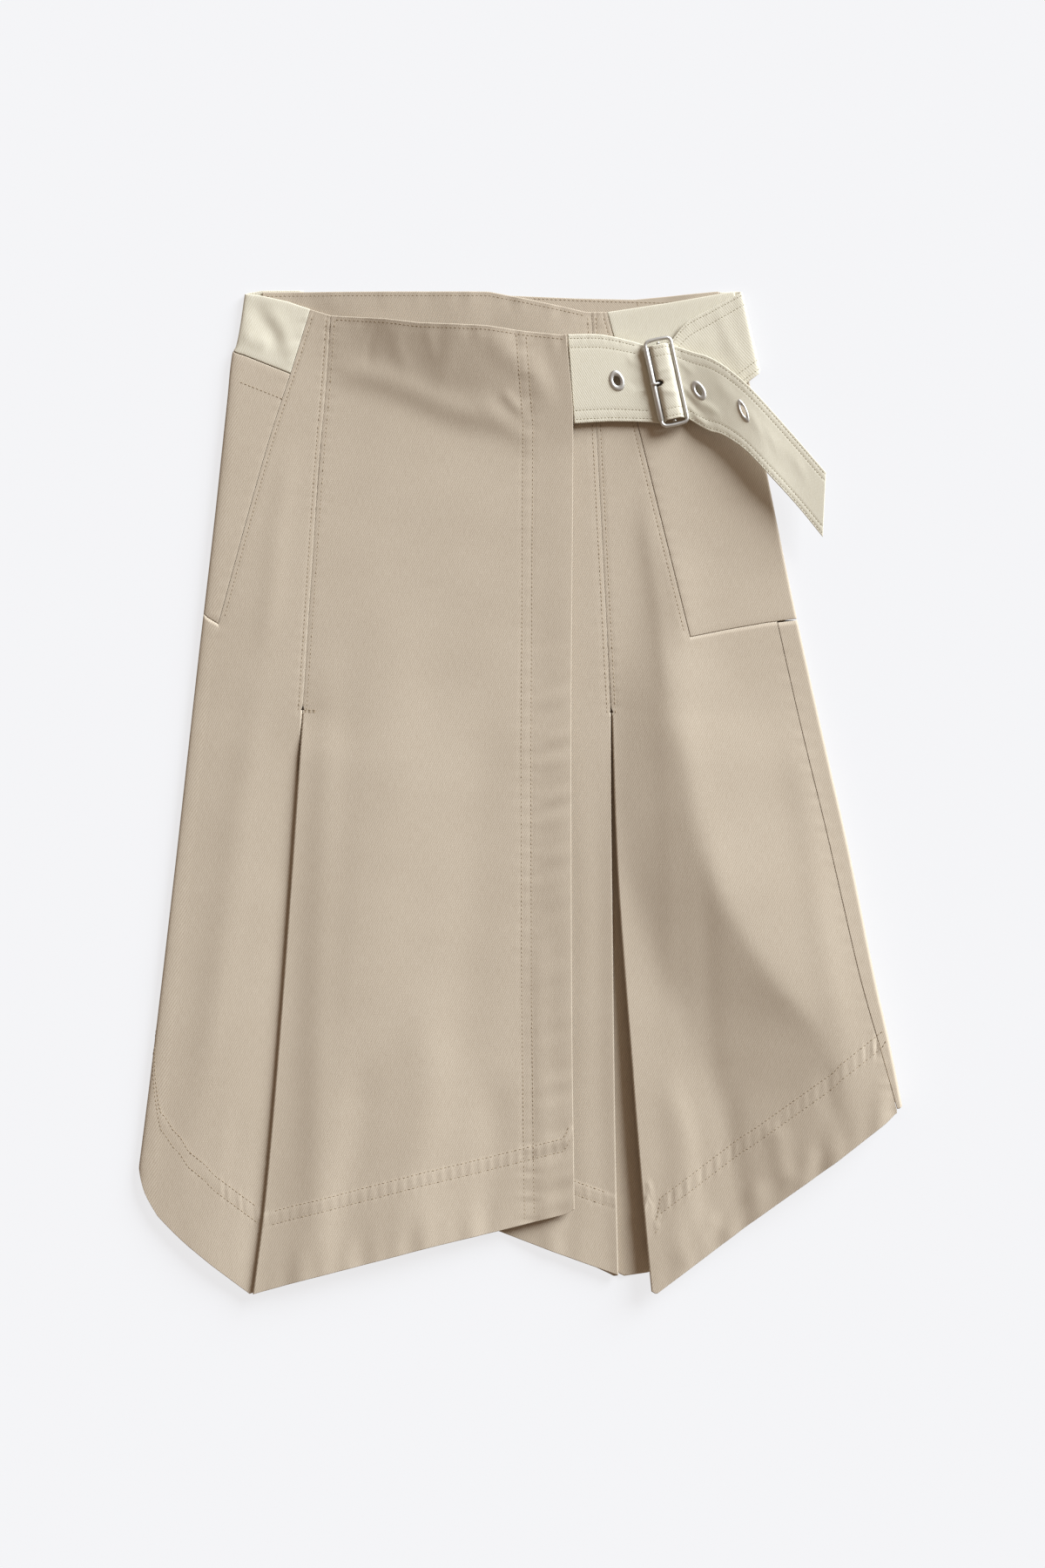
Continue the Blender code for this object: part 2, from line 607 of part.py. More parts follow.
# Rows of (top edge's x, y, level, lower edge's x, y, level)
BELT_ROWS = np.array((
    (36.6, 352, 11.5, 41.8, 283.5, 9.2),
    (62, 352, 10.4, 69, 285, 8.9),
    (84, 347.5, 9.2, 98.5, 284.5, 9.1),
    on_buckle(-10.05, 30.9, 8.7, -0.4),
    on_buckle(-7.5, 29.8, 9.7),
    on_buckle(-6.6, 29.2, 12.9),
    on_buckle(-4.9, 29.2, 14.4),
    on_buckle(0, 29.2, 14.9),
    on_buckle(4.8, 29.2, 14.5),
    on_buckle(7.3, 29.2, 12.3, 0.8),
    on_buckle(10.05, 29.2, 9.9, 1.8),
    (132, 338.8, 11.5, 144.5, 278, 12.3),
    (145, 334.6, 13.5, 157, 273.5, 14.5),
    (159, 326, 15.5, 173.5, 262, 17),
    (177.5, 310, 17.5, 191.5, 243, 18.5),
    (206.5, 278, 17.8, 212.5, 220, 18.4),
    (235, 245, 19, 232.5, 195.5, 18.9),
))
# The strap's rows run from its sewn end, round the centre bar, over the hip and under the side
STRAP_ROWS = np.array((
    on_buckle(18, 28, 6.3),
    on_buckle(8, 28.5, 6.2),
    on_buckle(3.6, 27.9, 6.5),
    on_buckle(0, 27.9, 7.5),
    on_buckle(-1.8, 27.9, 8.45),
    on_buckle(-2.5, 27.9, 10.3),
    on_buckle(-1.8, 27.9, 12.1),
    on_buckle(0, 27.9, 12.95),
    on_buckle(1.8, 27.9, 12.1),
    on_buckle(3.3, 27.9, 10.2),
    on_buckle(6, 29, 8.6),
    on_buckle(10.05, 30, 7.9),
    (128, 361.5, 7.6, 141, 290, 7.8),
    (146, 371.5, 7.5, 158, 302, 7.8),
    (161, 379.5, 7.6, 173, 313.5, 8.1),
    (169.3, 384.1, 7.7, 182.7, 320.8, 8.1),
    (170.7, 384.9, 6.7, 184.5, 322.8, 7),
    (170.7, 385.3, 4.1, 184.8, 325, 4.4),
    (169.3, 386, 1.5, 183.2, 327, 1.5),
    (161, 386, 0.75, 175, 326, 0.75),
    (138, 384, 0.75, 150, 322, 0.75),
))


def flow(rows, place):
    """A smooth curve through rows, at places counted in rows."""
    start = np.clip(np.floor(place).astype(int), 0, len(rows) - 2)
    share = (place - start)[:, None]
    slope = np.gradient(rows, axis=0)
    a, b, da, db = rows[start], rows[start + 1], slope[start], slope[start + 1]
    square, cube = share**2, share**3
    return (2 * cube - 3 * square + 1) * a + (cube - 2 * square + share) * da + (3 * square - 2 * cube) * b \
        + (cube - square) * db


def band_points(rows, places, shares):
    """Points of a band: straight between its two edges."""
    edges = flow(rows, places)
    shares = np.asarray(shares)[:, None, None]
    return edges[None, :, :3] * (1 - shares) + edges[None, :, 3:] * shares


def band_length(rows):
    """Places along the rows against the distance along the band's middle."""
    places = np.linspace(0, len(rows) - 1, 600)
    middle = band_points(rows, places, (0.5,))[0]
    steps = np.linalg.norm(np.diff(middle, axis=0), axis=1)
    return np.concatenate([[0], np.cumsum(steps)]), places


def slots(shares, places, holes):
    """Marks the squares of a band's net that lie inside a slot."""
    keep = np.ones((len(shares) - 1, len(places) - 1), bool)
    across = (shares[1:] + shares[:-1])[:, None] / 2
    along = (places[1:] + places[:-1])[None, :] / 2
    for low, high, left, right in holes:
        keep &= ~((across > low) & (across < high) & (along > left) & (along < right))
    return keep


def build_belt():
    distance, places = band_length(BELT_ROWS)
    holes = []
    for along, share in BELT_EYELETS:
        ends = np.interp((along - EYELET_SLOT[0], along + EYELET_SLOT[0]), distance, places)
        half = EYELET_SLOT[1] / BELT_WIDTH
        holes.append((share - half, share + half, *ends))
    holes.append((*PRONG_SLOT, 4, 6))
    regular = np.arange(0, len(BELT_ROWS) - 0.9, 0.5)
    cuts = {round(v, 3) for hole in holes for v in hole[2:]}
    along = np.array(sorted(cuts | {v for v in regular if min(abs(v - c) for c in cuts) > 0.12}))
    across = np.array(sorted({0, 0.1, 0.25, 0.75, 0.9, 1} | {round(v, 4) for hole in holes for v in hole[:2]}))
    points = band_points(BELT_ROWS, along, across)
    return wall("belt", points, BAND, slots(across, along, holes), "cream")


def build_strap():
    along = np.arange(float(len(STRAP_ROWS)))
    across = np.array((0, 0.25, *HOOK_SLOT, 0.75, 1))
    points = band_points(STRAP_ROWS, along, across)
    keep = slots(across, along, [(*HOOK_SLOT, 2, 10)])
    return wall("hip_strap", points, BAND, keep, "cream")


def loop_mesh(name, loops, cloth="steel"):
    """A ring: rows of points round it, each row a loop, joined to the next and the last to the first."""
    count, sides = loops.shape[:2]
    index = np.arange(count * sides).reshape(count, sides)
    around = np.roll(index, -1, axis=1)
    faces = np.stack([index, around, np.roll(around, -1, axis=0), np.roll(index, -1, axis=0)], axis=-1)
    mesh = bpy.data.meshes.new(name)
    mesh.from_pydata((loops.reshape(-1, 3) * MM).tolist(), [], faces.reshape(-1, 4).tolist())
    return finish(mesh, name, cloth)


def belt_surface(along, share, height):
    """Points over the belt, by distance along it, share of its width and height over its middle."""
    distance, places = band_length(BELT_ROWS)

    def point(a, s):
        edges = flow(BELT_ROWS, np.interp(a, distance, places))
        return edges[:, :3] * (1 - s[:, None]) + edges[:, 3:] * s[:, None]
    a, s = along.ravel(), share.ravel()
    right = point(a + 1, s) - point(a - 1, s)
    down = point(a, s + 0.01) - point(a, s - 0.01)
    normal = np.cross(down, right)
    normal /= np.linalg.norm(normal, axis=1, keepdims=True)
    return (point(a, s) + normal * height.reshape(-1, 1)).reshape(*along.shape, 3)


def build_eyelet(number, along, share):
    """An oval rim that follows the belt, with a barrel through it."""
    angles = np.arange(20) * np.pi / 10
    low = BAND / 2 + SEAM
    hole, rim = EYELET_HOLE, EYELET_RIM
    profile = ((0, -low), (0.7, -low), (0.7, low), (rim[0] - hole[0], low), (rim[0] - hole[0] - 0.3, low + 0.6),
               (1.4, low + 1), (0, low + 0.5))
    grow = np.array([row[0] for row in profile])[:, None]
    height = np.array([row[1] for row in profile])[:, None] + 0 * angles
    over = along + (hole[0] + grow) * np.cos(angles)
    stretch = (rim[1] - hole[1]) / (rim[0] - hole[0])
    across = share - (hole[1] + grow * stretch) * np.sin(angles) / BELT_WIDTH
    return loop_mesh(f"eyelet_{number}", belt_surface(over, across, height))


def on_frame(across, along, level):
    place = BUCKLE_MIDDLE + ACROSS_BUCKLE * across + ALONG_BUCKLE * along
    return (*place, level)


def rod(name, points, radius, cyclic=False):
    """A round steel rod along points."""
    curve = bpy.data.curves.new(name, "CURVE")
    curve.dimensions = "3D"
    curve.bevel_depth = radius * MM
    curve.bevel_resolution = 2
    curve.use_fill_caps = True
    spline = curve.splines.new("POLY")
    spline.points.add(len(points) - 1)
    for point, place in zip(spline.points, points):
        point.co = (*(np.array(place) * MM), 1)
    spline.use_cyclic_u = cyclic
    obj = bpy.data.objects.new(name, curve)
    bpy.context.scene.collection.objects.link(obj)
    mesh = bpy.data.meshes.new_from_object(obj.evaluated_get(bpy.context.evaluated_depsgraph_get()))
    bpy.data.objects.remove(obj)
    return finish(mesh, name, "steel")


def build_frame():
    """A rectangle of bar with rounded corners."""
    half = np.array(BUCKLE_SIZE) / 2
    points = []
    for quarter, (sx, sy) in enumerate(((1, -1), (1, 1), (-1, 1), (-1, -1))):
        for step in range(4):
            angle = np.radians(-90 + 90 * quarter + 30 * step)
            corner = (half - BUCKLE_CORNER) * (sx, sy)
            points.append(on_frame(corner[0] + BUCKLE_CORNER * np.cos(angle),
                                   corner[1] + BUCKLE_CORNER * np.sin(angle), BUCKLE_LEVEL))
    return rod("buckle_frame", points, BAR, cyclic=True)


def build_centre_bar():
    reach = BUCKLE_SIZE[1] / 2 - BAR - SEAM
    points = [on_frame(0, inset - reach, level) for inset, level in BAR_DIP]
    points += [on_frame(0, reach - inset, level) for inset, level in BAR_DIP[::-1]]
    return rod("buckle_bar", points, BAR)


def build_roller():
    """A tube round the frame's left bar."""
    half = BUCKLE_SIZE[1] / 2 - BUCKLE_CORNER - 1
    angles = np.arange(14) * np.pi / 7
    profile = ((BAR + SEAM, -half), (ROLLER, -half), (ROLLER, half), (BAR + SEAM, half))
    left = -BUCKLE_SIZE[0] / 2
    loops = np.array([[on_frame(left + radius * np.cos(a), along, BUCKLE_LEVEL + radius * np.sin(a))
                       for a in angles] for radius, along in profile])
    return loop_mesh("buckle_roller", loops)


def build_prong():
    """A hook round the centre bar, up through the belt and over the roller."""
    reach = BAR + SEAM + PRONG
    hook = [(reach * np.cos(a), BAR_LEVEL + reach * np.sin(a)) for a in np.radians(np.arange(120, -160, -30))]
    tip = BUCKLE_LEVEL + ROLLER + SEAM + PRONG
    shank = [(-4.3, 10.8), (-5.4, 12.6), (-7, 15.1), (-8.8, tip), (-12.5, tip - 0.2)]
    return rod("buckle_prong", [on_frame(across, 0, level) for across, level in hook + shank], PRONG)


def main():
    for obj in list(bpy.data.objects):
        bpy.data.objects.remove(obj)
    build_back()
    build_underlap()
    build_right_underlay()
    build_right_front()
    build_right_pocket()
    build_right_inset()
    build_left_underlay()
    build_side_front()
    build_centre_front()
    build_left_pocket()
    build_left_inset()
    build_strap()
    build_belt()
    for number, (along, share) in enumerate(BELT_EYELETS, 1):
        build_eyelet(number, along, share)
    build_frame()
    build_centre_bar()
    build_roller()
    build_prong()


main()
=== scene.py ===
"""A handkerchief hem wrap skirt with a buckled belt, laid flat, dressed over its CAD frame.

Lengths are in millimetres and are turned to metres as each mesh is made. X runs across the skirt, Y up from
the hem to the waist, Z up from the surface. A cloth is worked out in its own plane: "across" is X on the part
that lies flat and goes on as a length of cloth round a rolled side or a pleat's fold, and "up" is Y.
"""

import bpy
import numpy as np
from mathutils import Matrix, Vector


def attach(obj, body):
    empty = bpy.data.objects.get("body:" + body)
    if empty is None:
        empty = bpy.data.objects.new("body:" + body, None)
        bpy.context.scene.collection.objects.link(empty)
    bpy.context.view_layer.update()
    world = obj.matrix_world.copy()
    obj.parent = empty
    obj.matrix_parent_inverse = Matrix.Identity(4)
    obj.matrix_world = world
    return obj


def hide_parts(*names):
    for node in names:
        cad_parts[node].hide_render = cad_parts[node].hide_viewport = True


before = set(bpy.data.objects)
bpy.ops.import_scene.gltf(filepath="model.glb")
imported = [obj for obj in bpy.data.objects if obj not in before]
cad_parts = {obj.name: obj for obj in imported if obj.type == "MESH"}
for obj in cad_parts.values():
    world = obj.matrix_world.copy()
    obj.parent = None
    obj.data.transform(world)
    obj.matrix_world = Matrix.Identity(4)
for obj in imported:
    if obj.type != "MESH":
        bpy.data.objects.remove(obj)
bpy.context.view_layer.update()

MM = 0.001

# Walls and clearances, as in the CAD part. GAP is between walls that lie on each other, SEAM between edges.
# HEM and HEM_LOW_ROW are the two rows of stitches that hold a hem, up from its edge.
WALL = 1.1
BAND = 1.5
GAP = 0.35
PLY = WALL + GAP
SEAM = 0.3
FLOOR = WALL / 2
HEM = 57
HEM_LOW_ROW = 47.6


def track(*rows):
    """A line through rows of (place, value), in order of place."""
    return np.array(sorted(rows), float).T


def at(line, place):
    """Straight from row to row."""
    return np.interp(place, line[0], line[1])


def curve(line, place):
    """A smooth line through the rows: cubic between two rows, with slopes that never overshoot."""
    x, y = line
    step = np.diff(x)
    rise = np.diff(y) / step
    flat = rise[:-1] * rise[1:] <= 0
    inner = np.where(flat, 0, 2 * rise[:-1] * rise[1:] / np.where(flat, 1, rise[:-1] + rise[1:]))
    slope = np.concatenate([rise[:1], inner, rise[-1:]])
    place = np.clip(place, x[0], x[-1])
    k = np.clip(np.searchsorted(x, place, "right") - 1, 0, len(x) - 2)
    t = (place - x[k]) / step[k]
    a, b = y[k], y[k + 1]
    da, db = slope[k] * step[k], slope[k + 1] * step[k]
    return a + da * t + (3 * (b - a) - 2 * da - db) * t**2 + (2 * (a - b) + da + db) * t**3


def soft(share):
    """A smooth step: 0 below 0, 1 above 1, and three squares less two cubes between."""
    share = np.clip(share, 0, 1)
    return share * share * (3 - 2 * share)


def hump(distance, reach):
    """A bell: 1 at distance 0 and a third at the reach."""
    return np.exp(-((distance / reach) ** 2))


# Outline and seams: (up, across)
LEFT_EDGE = track((386, -212), (344, -219), (338, -222), (301, -226), (207, -236), (100, -248.5),
                  (-61, -266.5), (-222, -285.5), (-289, -294))
RIGHT_EDGE = track((386, 165.5), (311, 178), (234, 193), (153, 209.5), (100, 221), (19, 239), (-34, 251),
                   (-88, 262), (-141, 272.5), (-195, 284.5), (-244, 294.2))
LEFT_SLANT = track((372, -161.5), (322, -177), (274, -192.5), (129, -232.5))
RIGHT_SLANT = track((370, 67), (284, 90.5), (119, 131), (-330, 175))
LEFT_PLEAT = track((367, -145.5), (295, -151), (274, -153), (63, -167.5), (-161, -183.5), (-316, -197),
                   (-387, -206))
WRAP_EDGE = track((352, 35.5), (283, 41), (33, 39.5), (-161, 40), (-321, 42))
RIGHT_PLEAT = track((370, 55.5), (283, 59), (61, 70.5))
UNDERLAP_START = track((386, -199), (-270, -185))
INNER_FOLD = track((61, 70.2), (6, 70.4), (-74, 71.2), (-275, 73.8), (-374, 76))
OUTER_FOLD = track((61, 70.9), (6, 72.4), (-61, 75), (-128, 79.5), (-195, 84.8), (-262, 90), (-329, 95.8),
                   (-383, 101))
UNDER_WIDTH = 45
POCKET_UNDER = 10
# SIDE_SEAM: 2 to 3 mm further in than in the CAD part
SIDE_SEAM = track((133, -13.8), (60, -13.6), (-20, -12.6), (-100, -11), (-163, -8.6), (-244, -2.3))
LEFT_TACK, RIGHT_TACK = 63, 61

# Edges across the cloth: (across, up)
LEFT_WAIST = track((-260, 387), (-226, 387), (-212, 384), (-199, 382.5), (-179, 378), (-161.5, 372),
                   (-145.5, 367))
WRAP_WAIST = track((-145.5, 367), (-104, 364), (-78, 360.5), (-26, 358), (2, 354), (33, 351), (36, 352))
UNDERLAP_WAIST = track((-199, 385.5), (-24, 385.5), (3, 380.5), (34, 374), (51, 370), (56, 370))
RIGHT_WAIST = track((56, 370), (68, 370), (114, 377), (163, 385.5), (240, 386))
LEFT_POCKET_TOP = track((-260, 352), (-225, 341), (-177, 322))
LEFT_POCKET_END = track((-330, 152), (-260, 146), (-243, 137), (-232.5, 129), (-160, 129))
RIGHT_POCKET_TOP = track((78, 318), (178, 338), (240, 345))
RIGHT_POCKET_END = track((90, 119), (131, 119), (158, 124.5), (189, 130), (213, 133), (260, 134))
SIDE_HEM = track((-345, -252), (-312, -258), (-304, -266), (-295.5, -287), (-288, -308), (-279.5, -327),
                 (-270, -337), (-258.5, -348), (-239, -364), (-208.5, -387), (-204, -385.5), (-172, -360))
WRAP_HEM = track((-235, -374), (-206, -387), (-169, -376.5), (-132, -367), (-69, -350.5), (-18, -338.5),
                 (36, -325), (42, -321))
UNDERLAP_HEM = track((-199, -274), (-18, -338.5), (29, -356), (79.5, -374), (82, -372.5), (112, -358))
SIDE_HEM_FRONT = np.append(SIDE_HEM[:, :-2], [[-190], [-401]], axis=1)
LEFT_UNDER_HEM = track((-240, -356), (-204, -381), (-170, -357))
RIGHT_UNDER_HEM = track((50, -352), (71, -363), (78, -374), (99, -371), (130, -352))
RIGHT_HEM = track((68, -366), (99, -380), (101.5, -384.5), (105, -386.5), (175, -333.5), (243, -284),
                  (281, -254), (288, -247), (295, -243))
BACK_HEM = track((-5, -243), (15, -239), (60, -246), (145, -300), (290, -284), (425, -312), (545, -262))
BACK_WAIST = track((-5, 386), (60, 380), (105, 381), (200, 385), (330, 386), (420, 387))
TOP_EDGE, LOW_EDGE = 185, 295

# Levels of the walls' middles: (up, level)
LEFT_LEVEL = track((384, 5), (200, 6.3), (63, 7), (-150, 8), (-387, 8.3))
RIGHT_LEVEL = track((386, 4.6), (340, 4.4), (280, 4.4), (207, 5), (63, 5.6), (-387, 5.6))
MIDDLE_LEVEL = track((384, 6.4), (200, 6.9), (90, 8), (19, 10.6), (-34, 11.6), (-141, 12.6), (-250, 13.2),
                     (-387, 13.2))
UNDERLAP_LEVEL = 2
WRAP_LIFT = track((352, 0.6), (120, 0.8), (19, 2.4), (-100, 3), (-321, 2.6))
WAIST_RISE = 15
WRAP_LIP = track((352, 0.4), (120, 1.1), (19, 1.8), (-100, 2.4), (-250, 2), (-321, 1.2))
FOLD_LOFT = track((61, 0), (-74, 3.2), (-141, 4.8), (-195, 5.8), (-262, 6.4), (-387, 6.6))
# INNER_ROLL: tighter than in the CAD part, by up to 1.5 mm
INNER_ROLL = track((61, 0.5), (-374, 0.4))
LEFT_ROLL = track((386, 8), (-300, 14))
# RIGHT_ROLL: tighter than in the CAD part, by up to 3 mm, as pressed cloth is
RIGHT_ROLL = track((386, 1.1), (285, 1.3), (207, 1.6), (-250, 2.2))
ROLL_POWER = 0.35
# Levels inside the pleats: the cloth at the back of each, and the ends of the two returns over it
LEFT_UNDER = track((63, 4), (23, 3.45))
SIDE_RETURN = track((63, 5.55), (23, 4.9))
WRAP_RETURN = track((63, 5.55), (23, 4.95))
RIGHT_UNDER = track((61, 2.5), (1, 2))
INNER_RETURN = track((61, 4), (1, 3.45))
FRONT_RETURN = track((61, 4.1), (1, 3.45))
PLEAT_FOLD = PLY / 2
FOLD_REACH = PLEAT_FOLD + WALL / 2
PLEAT_DEPTH = track((61, 7), (-380, 26))
FOLD_TOP = 9.3
UNDER_FOLD = 6.35
TUCK = 5
STRAP_LIFT = 1.9

# The long fold of the right front: (up, across where its flank starts, its crest, rise, across where the far
# side ends, fall)
RIGHT_FOLDS = ((285, 92, 106, 0, 140, 0), (207, 88, 106, 1.8, 140, 0.8), (160, 92, 118, 3.4, 140, 1.8),
               (127, 90, 120, 4.4, 142, 2), (73, 74, 113, 6.6, 172, 2.6), (19, 73, 127, 9.6, 196, 2.4),
               (-34, 76, 136, 11, 204, 2), (-88, 90, 158, 12.6, 230, 0.9), (-141, 110, 192, 13.2, 248, 0.5),
               (-195, 134, 234, 12.6, 276, 0.4), (-240, 150, 246, 11.6, 286, 0.4),
               (-340, 156, 256, 8.6, 290, 0.4))
FLANK_START, CREST, FLANK_RISE, FAR_END, FAR_FALL = (track(*((row[0], row[k]) for row in RIGHT_FOLDS))
                                                     for k in (1, 2, 3, 4, 5))

# Soft ridges and troughs: (x, y of one end, x, y of the other, half width, height)
WRAP_CREASES = (
    (-126, 324, -24, 286, 11, 1.7), (-12, 306, 2, 292, 4, 0.7), (20, 344, 30, 300, 8, -0.5),
    (-146, 366, -130, 318, 14, 0.4), (-100, 362, -88, 326, 6, 0.4), (-48, 358, -62, 316, 8, 0.5),
    (-22, 350, 26, 306, 10, 1.0), (-112, 358, -118, 330, 4, -0.3), (-72, 356, -66, 334, 4, 0.25),
    (-30, 300, 8, 268, 8, 0.6), (-150, 60, -158, -340, 12, 0.8),
    (-95, 120, -112, -150, 26, 0.9), (-30, 40, -44, -210, 22, -0.8), (-70, -180, -82, -345, 20, 1.3),
    (-120, -220, -136, -362, 15, -1.0), (-20, -230, -22, -335, 14, -0.9), (15, -120, 18, -300, 9, 0.7),
)
SIDE_CREASES = (
    (-204, 374, -186, 346, 7, -0.9), (-190, 368, -176, 338, 6, 0.7), (-212, 352, -196, 344, 6, 0.6),
    (-205, 60, -238, -190, 12, 0.6), (-228, -110, -262, -330, 14, 0.6), (-215, -250, -232, -352, 9, -0.3),
    (-180, 250, -196, 120, 9, 0.5),
)
RIGHT_CREASES = (
    (114, 100, 144, -70, 16, 0.8), (112, 40, 118, -180, 9, 0.3), (138, -40, 150, -230, 10, -0.5),
    (126, -250, 138, -352, 8, 0.7),
    (214, 20, 246, -190, 12, 0.7), (118, -230, 124, -360, 10, 0.9), (150, -330, 128, -362, 7, 0.8),
    (182, -306, 158, -342, 7, 0.8),
    (160, -240, 168, -328, 10, -0.9), (195, -260, 206, -300, 8, 0.8), (226, -280, 204, -310, 7, 0.5),
    (235, -215, 246, -270, 9, -0.8), (98, 210, 112, 90, 7, 0.5),
)
UNDERLAP_CREASES = ((-150, 384, -90, 330, 18, 0.8), (-10, 382, -30, 350, 12, -0.7),
                    (70, -30, 77, -370, 8, 0.9),
                    (37, -20, 38, -325, 9, -0.9))

# Buckle
BUCKLE_MIDDLE = np.array((112.7, 315.4))
BUCKLE_TURN = np.radians(12.2)
BUCKLE_LEVEL = 12.5
BAR_LEVEL = 10.3
BAR_DIP = track((0, 12.2), (0.9, 12.1), (2, 10.7), (2.9, 10.3))  # (distance from its end, level)
BUCKLE_SIZE = (20.1, 65.5)
BAR = 1.45
ROLLER = 2.15
PRONG = 0.9
BUCKLE_CORNER = 3.2
ACROSS_BUCKLE = np.array((np.cos(BUCKLE_TURN), np.sin(BUCKLE_TURN)))
ALONG_BUCKLE = np.array((np.sin(BUCKLE_TURN), -np.cos(BUCKLE_TURN)))
EYELET_HOLE = (2.8, 3.7)
EYELET_RIM = (5.7, 7.8)
BELT_EYELETS = ((35.3, 0.522), (107, 0.5), (148.3, 0.432))
BELT_WIDTH = 66


# ---- Relief --------------------


def creases(rows, x, y):
    """Sum of soft ridges. Each is a bell of the distance from its line, fading over its last quarter."""
    total = 0 * x
    for x0, y0, x1, y1, reach, height in rows:
        along = np.array((x1 - x0, y1 - y0), float)
        length = np.linalg.norm(along)
        along /= length
        share = ((x - x0) * along[0] + (y - y0) * along[1]) / length
        bow = 0.12 * reach * np.sin(share * 7 + x0)
        off = (x - x0) * along[1] - (y - y0) * along[0] + bow
        total = total + height * hump(off, reach) * soft((share + 0.25) / 0.4) * soft((1.25 - share) / 0.4)
    return total


def drift(x, y, seed):
    """Slow uneven swell of the cloth: four crossed waves, 45 to 140 mm long, that never repeat."""
    waves = ((0.062, 0.021, 1.0), (-0.035, 0.051, 0.8), (0.094, -0.047, 0.5), (0.027, 0.113, 0.45))
    return sum(size * np.sin(a * x + b * y + seed * (k + 1.7)) for k, (a, b, size) in enumerate(waves)) / 2.75


def puckers(distance, along, seed, reach=6, pitch=11):
    """Small waves along a seam that die away from it: two sines of unlike length under a bell."""
    turn = 2 * np.pi / pitch
    waves = (np.sin(turn * along + seed + 0.8 * np.sin(along / 37))
             + 0.6 * np.sin(1.63 * turn * along + 2 * seed))
    return hump(distance, reach) * waves * (0.7 + 0.3 * np.sin(along / 53 + seed))


def row_groove(distance):
    """A row of stitches pulls the cloth down in a narrow channel."""
    return -0.16 * hump(distance, 1.0)


def from_edge(edge, across, up):
    """Distance up from a hem: the height over it times the cosine of its slope."""
    slope = (at(edge, across + 3) - at(edge, across - 3)) / 6
    return (up - at(edge, across)) / np.sqrt(1 + slope**2)


def hem_relief(edge, across, up, seed):
    """A doubled hem: a low step at its two rows of stitches, and puckers that grow to the edge."""
    height = from_edge(edge, across, up)
    step = 0.35 * soft((58.5 - height) / 2)
    rows = row_groove(height - HEM) + row_groove(height - HEM_LOW_ROW)
    waves = 0.28 * puckers(height - 52, across, seed, 6, 7.5) + 0.34 * puckers(height, across, seed + 1, 22,
                                                                               31)
    return step + rows + waves


# ---- Levels of the cloths --------------------


def waist_arch(across):
    """The waist's arch across: a soft step up from the left times a soft step down to the right."""
    return soft((across + 199) / 110) * soft((55 - across) / 110)


def eased(distance, ease):
    """0 before the start and the distance after it, with the corner eased: a log of one more than a power."""
    return ease * np.logaddexp(0, distance / ease)


def climb(place, start, end, first, last):
    """A straight climb from 0 at the start to 1 at the end, its corners eased over first and last."""
    return (eased(place - start, first) - eased(place - end, last)) / (end - start)


def right_level(across, up):
    """Right front: up from its sprung fold along a slanting flank to a crest, then down to the side."""
    crest = curve(CREST, up)
    flank = curve(FLANK_RISE, up) * climb(across, curve(FLANK_START, up), crest, 5, 3.5)
    far = curve(FAR_FALL, up) * climb(across, crest + 5, curve(FAR_END, up), 3.5, 8)
    loft = curve(FOLD_LOFT, up) * (1 - soft((across - crest) / 170))
    return curve(RIGHT_LEVEL, up) + flank - far + loft


def strip_level(up):
    """The underlap where it shows, between the wrap's edge and the pleat."""
    return curve(RIGHT_LEVEL, up)


def underlap_level(across, up):
    """Flat under the wrap, climbing to the strip by a soft step across, plus the waist's arch at the top."""
    climb = (strip_level(up) - UNDERLAP_LEVEL) * soft((across + 28) / 66)
    return UNDERLAP_LEVEL + climb + 6 * waist_arch(across) * eased(up - 320, 8) / 65


def opened(up):
    """0 at the left pleat's tack and 1 where it has opened."""
    return soft((LEFT_TACK - up) / 40)


def waist_rise(across, up):
    """The front's free top rises to the waist edge, from the left seam to the wrap's edge, which it leaves
    a little lower."""
    start = 300 - 0.4 * np.clip(across + 75, -50, 90)
    share = soft((across + 172) / 132) * (1 - 0.3 * soft((across + 40) / 75))
    return WAIST_RISE * share * eased(up - start, 5) / (365 - start)


def wrap_level(across, up):
    """Centre front: from the pleat's fold up to a broad middle, then down to the edge over the underlap."""
    middle = curve(MIDDLE_LEVEL, up)
    fold = curve(LEFT_PLEAT, up)
    rest = curve(LEFT_LEVEL, up)
    left = rest + (FOLD_TOP - rest) * opened(up) - middle
    right = strip_level(up) + PLY + 0.1 + curve(WRAP_LIFT, up) - middle
    level = middle + left * (1 - soft((across - fold) / 55)) + right * soft((across + 130) / 170)
    return level + waist_rise(across, up)


def side_level(across, up):
    """Side front, left pocket and inset: level, and down a little where it goes under the pleat's fold."""
    rest = curve(LEFT_LEVEL, up)
    away = curve(LEFT_PLEAT, up) - across
    level = rest - 2.4 * soft((away - 12) / 90) * soft((200 - up) / 150)
    return level - opened(up) * (rest - UNDER_FOLD) * soft(1 - away / 40) + waist_rise(across, up)


def back_level(across, up):
    """The floor's level, lifted under the strap by a soft step up times a soft step across."""
    lift = STRAP_LIFT * soft((up - 262) / 32) * soft((across - 110) / 28)
    return FLOOR + lift


# ---- Cloth that turns --------------------


def half_ellipse(reach, depth):
    """Length round half an ellipse: pi times the root mean square of its two half sizes."""
    return np.pi * np.sqrt((reach**2 + depth**2) / 2)


def left_tangent(up):
    """Where the left side starts to turn: its edge, in by its roll and half a wall."""
    return curve(LEFT_EDGE, up) + at(LEFT_ROLL, up) + WALL / 2


def right_tangent(up):
    """Where the right side starts to turn: its edge, in by its roll and half a wall."""
    return curve(RIGHT_EDGE, up) - curve(RIGHT_ROLL, up) - WALL / 2


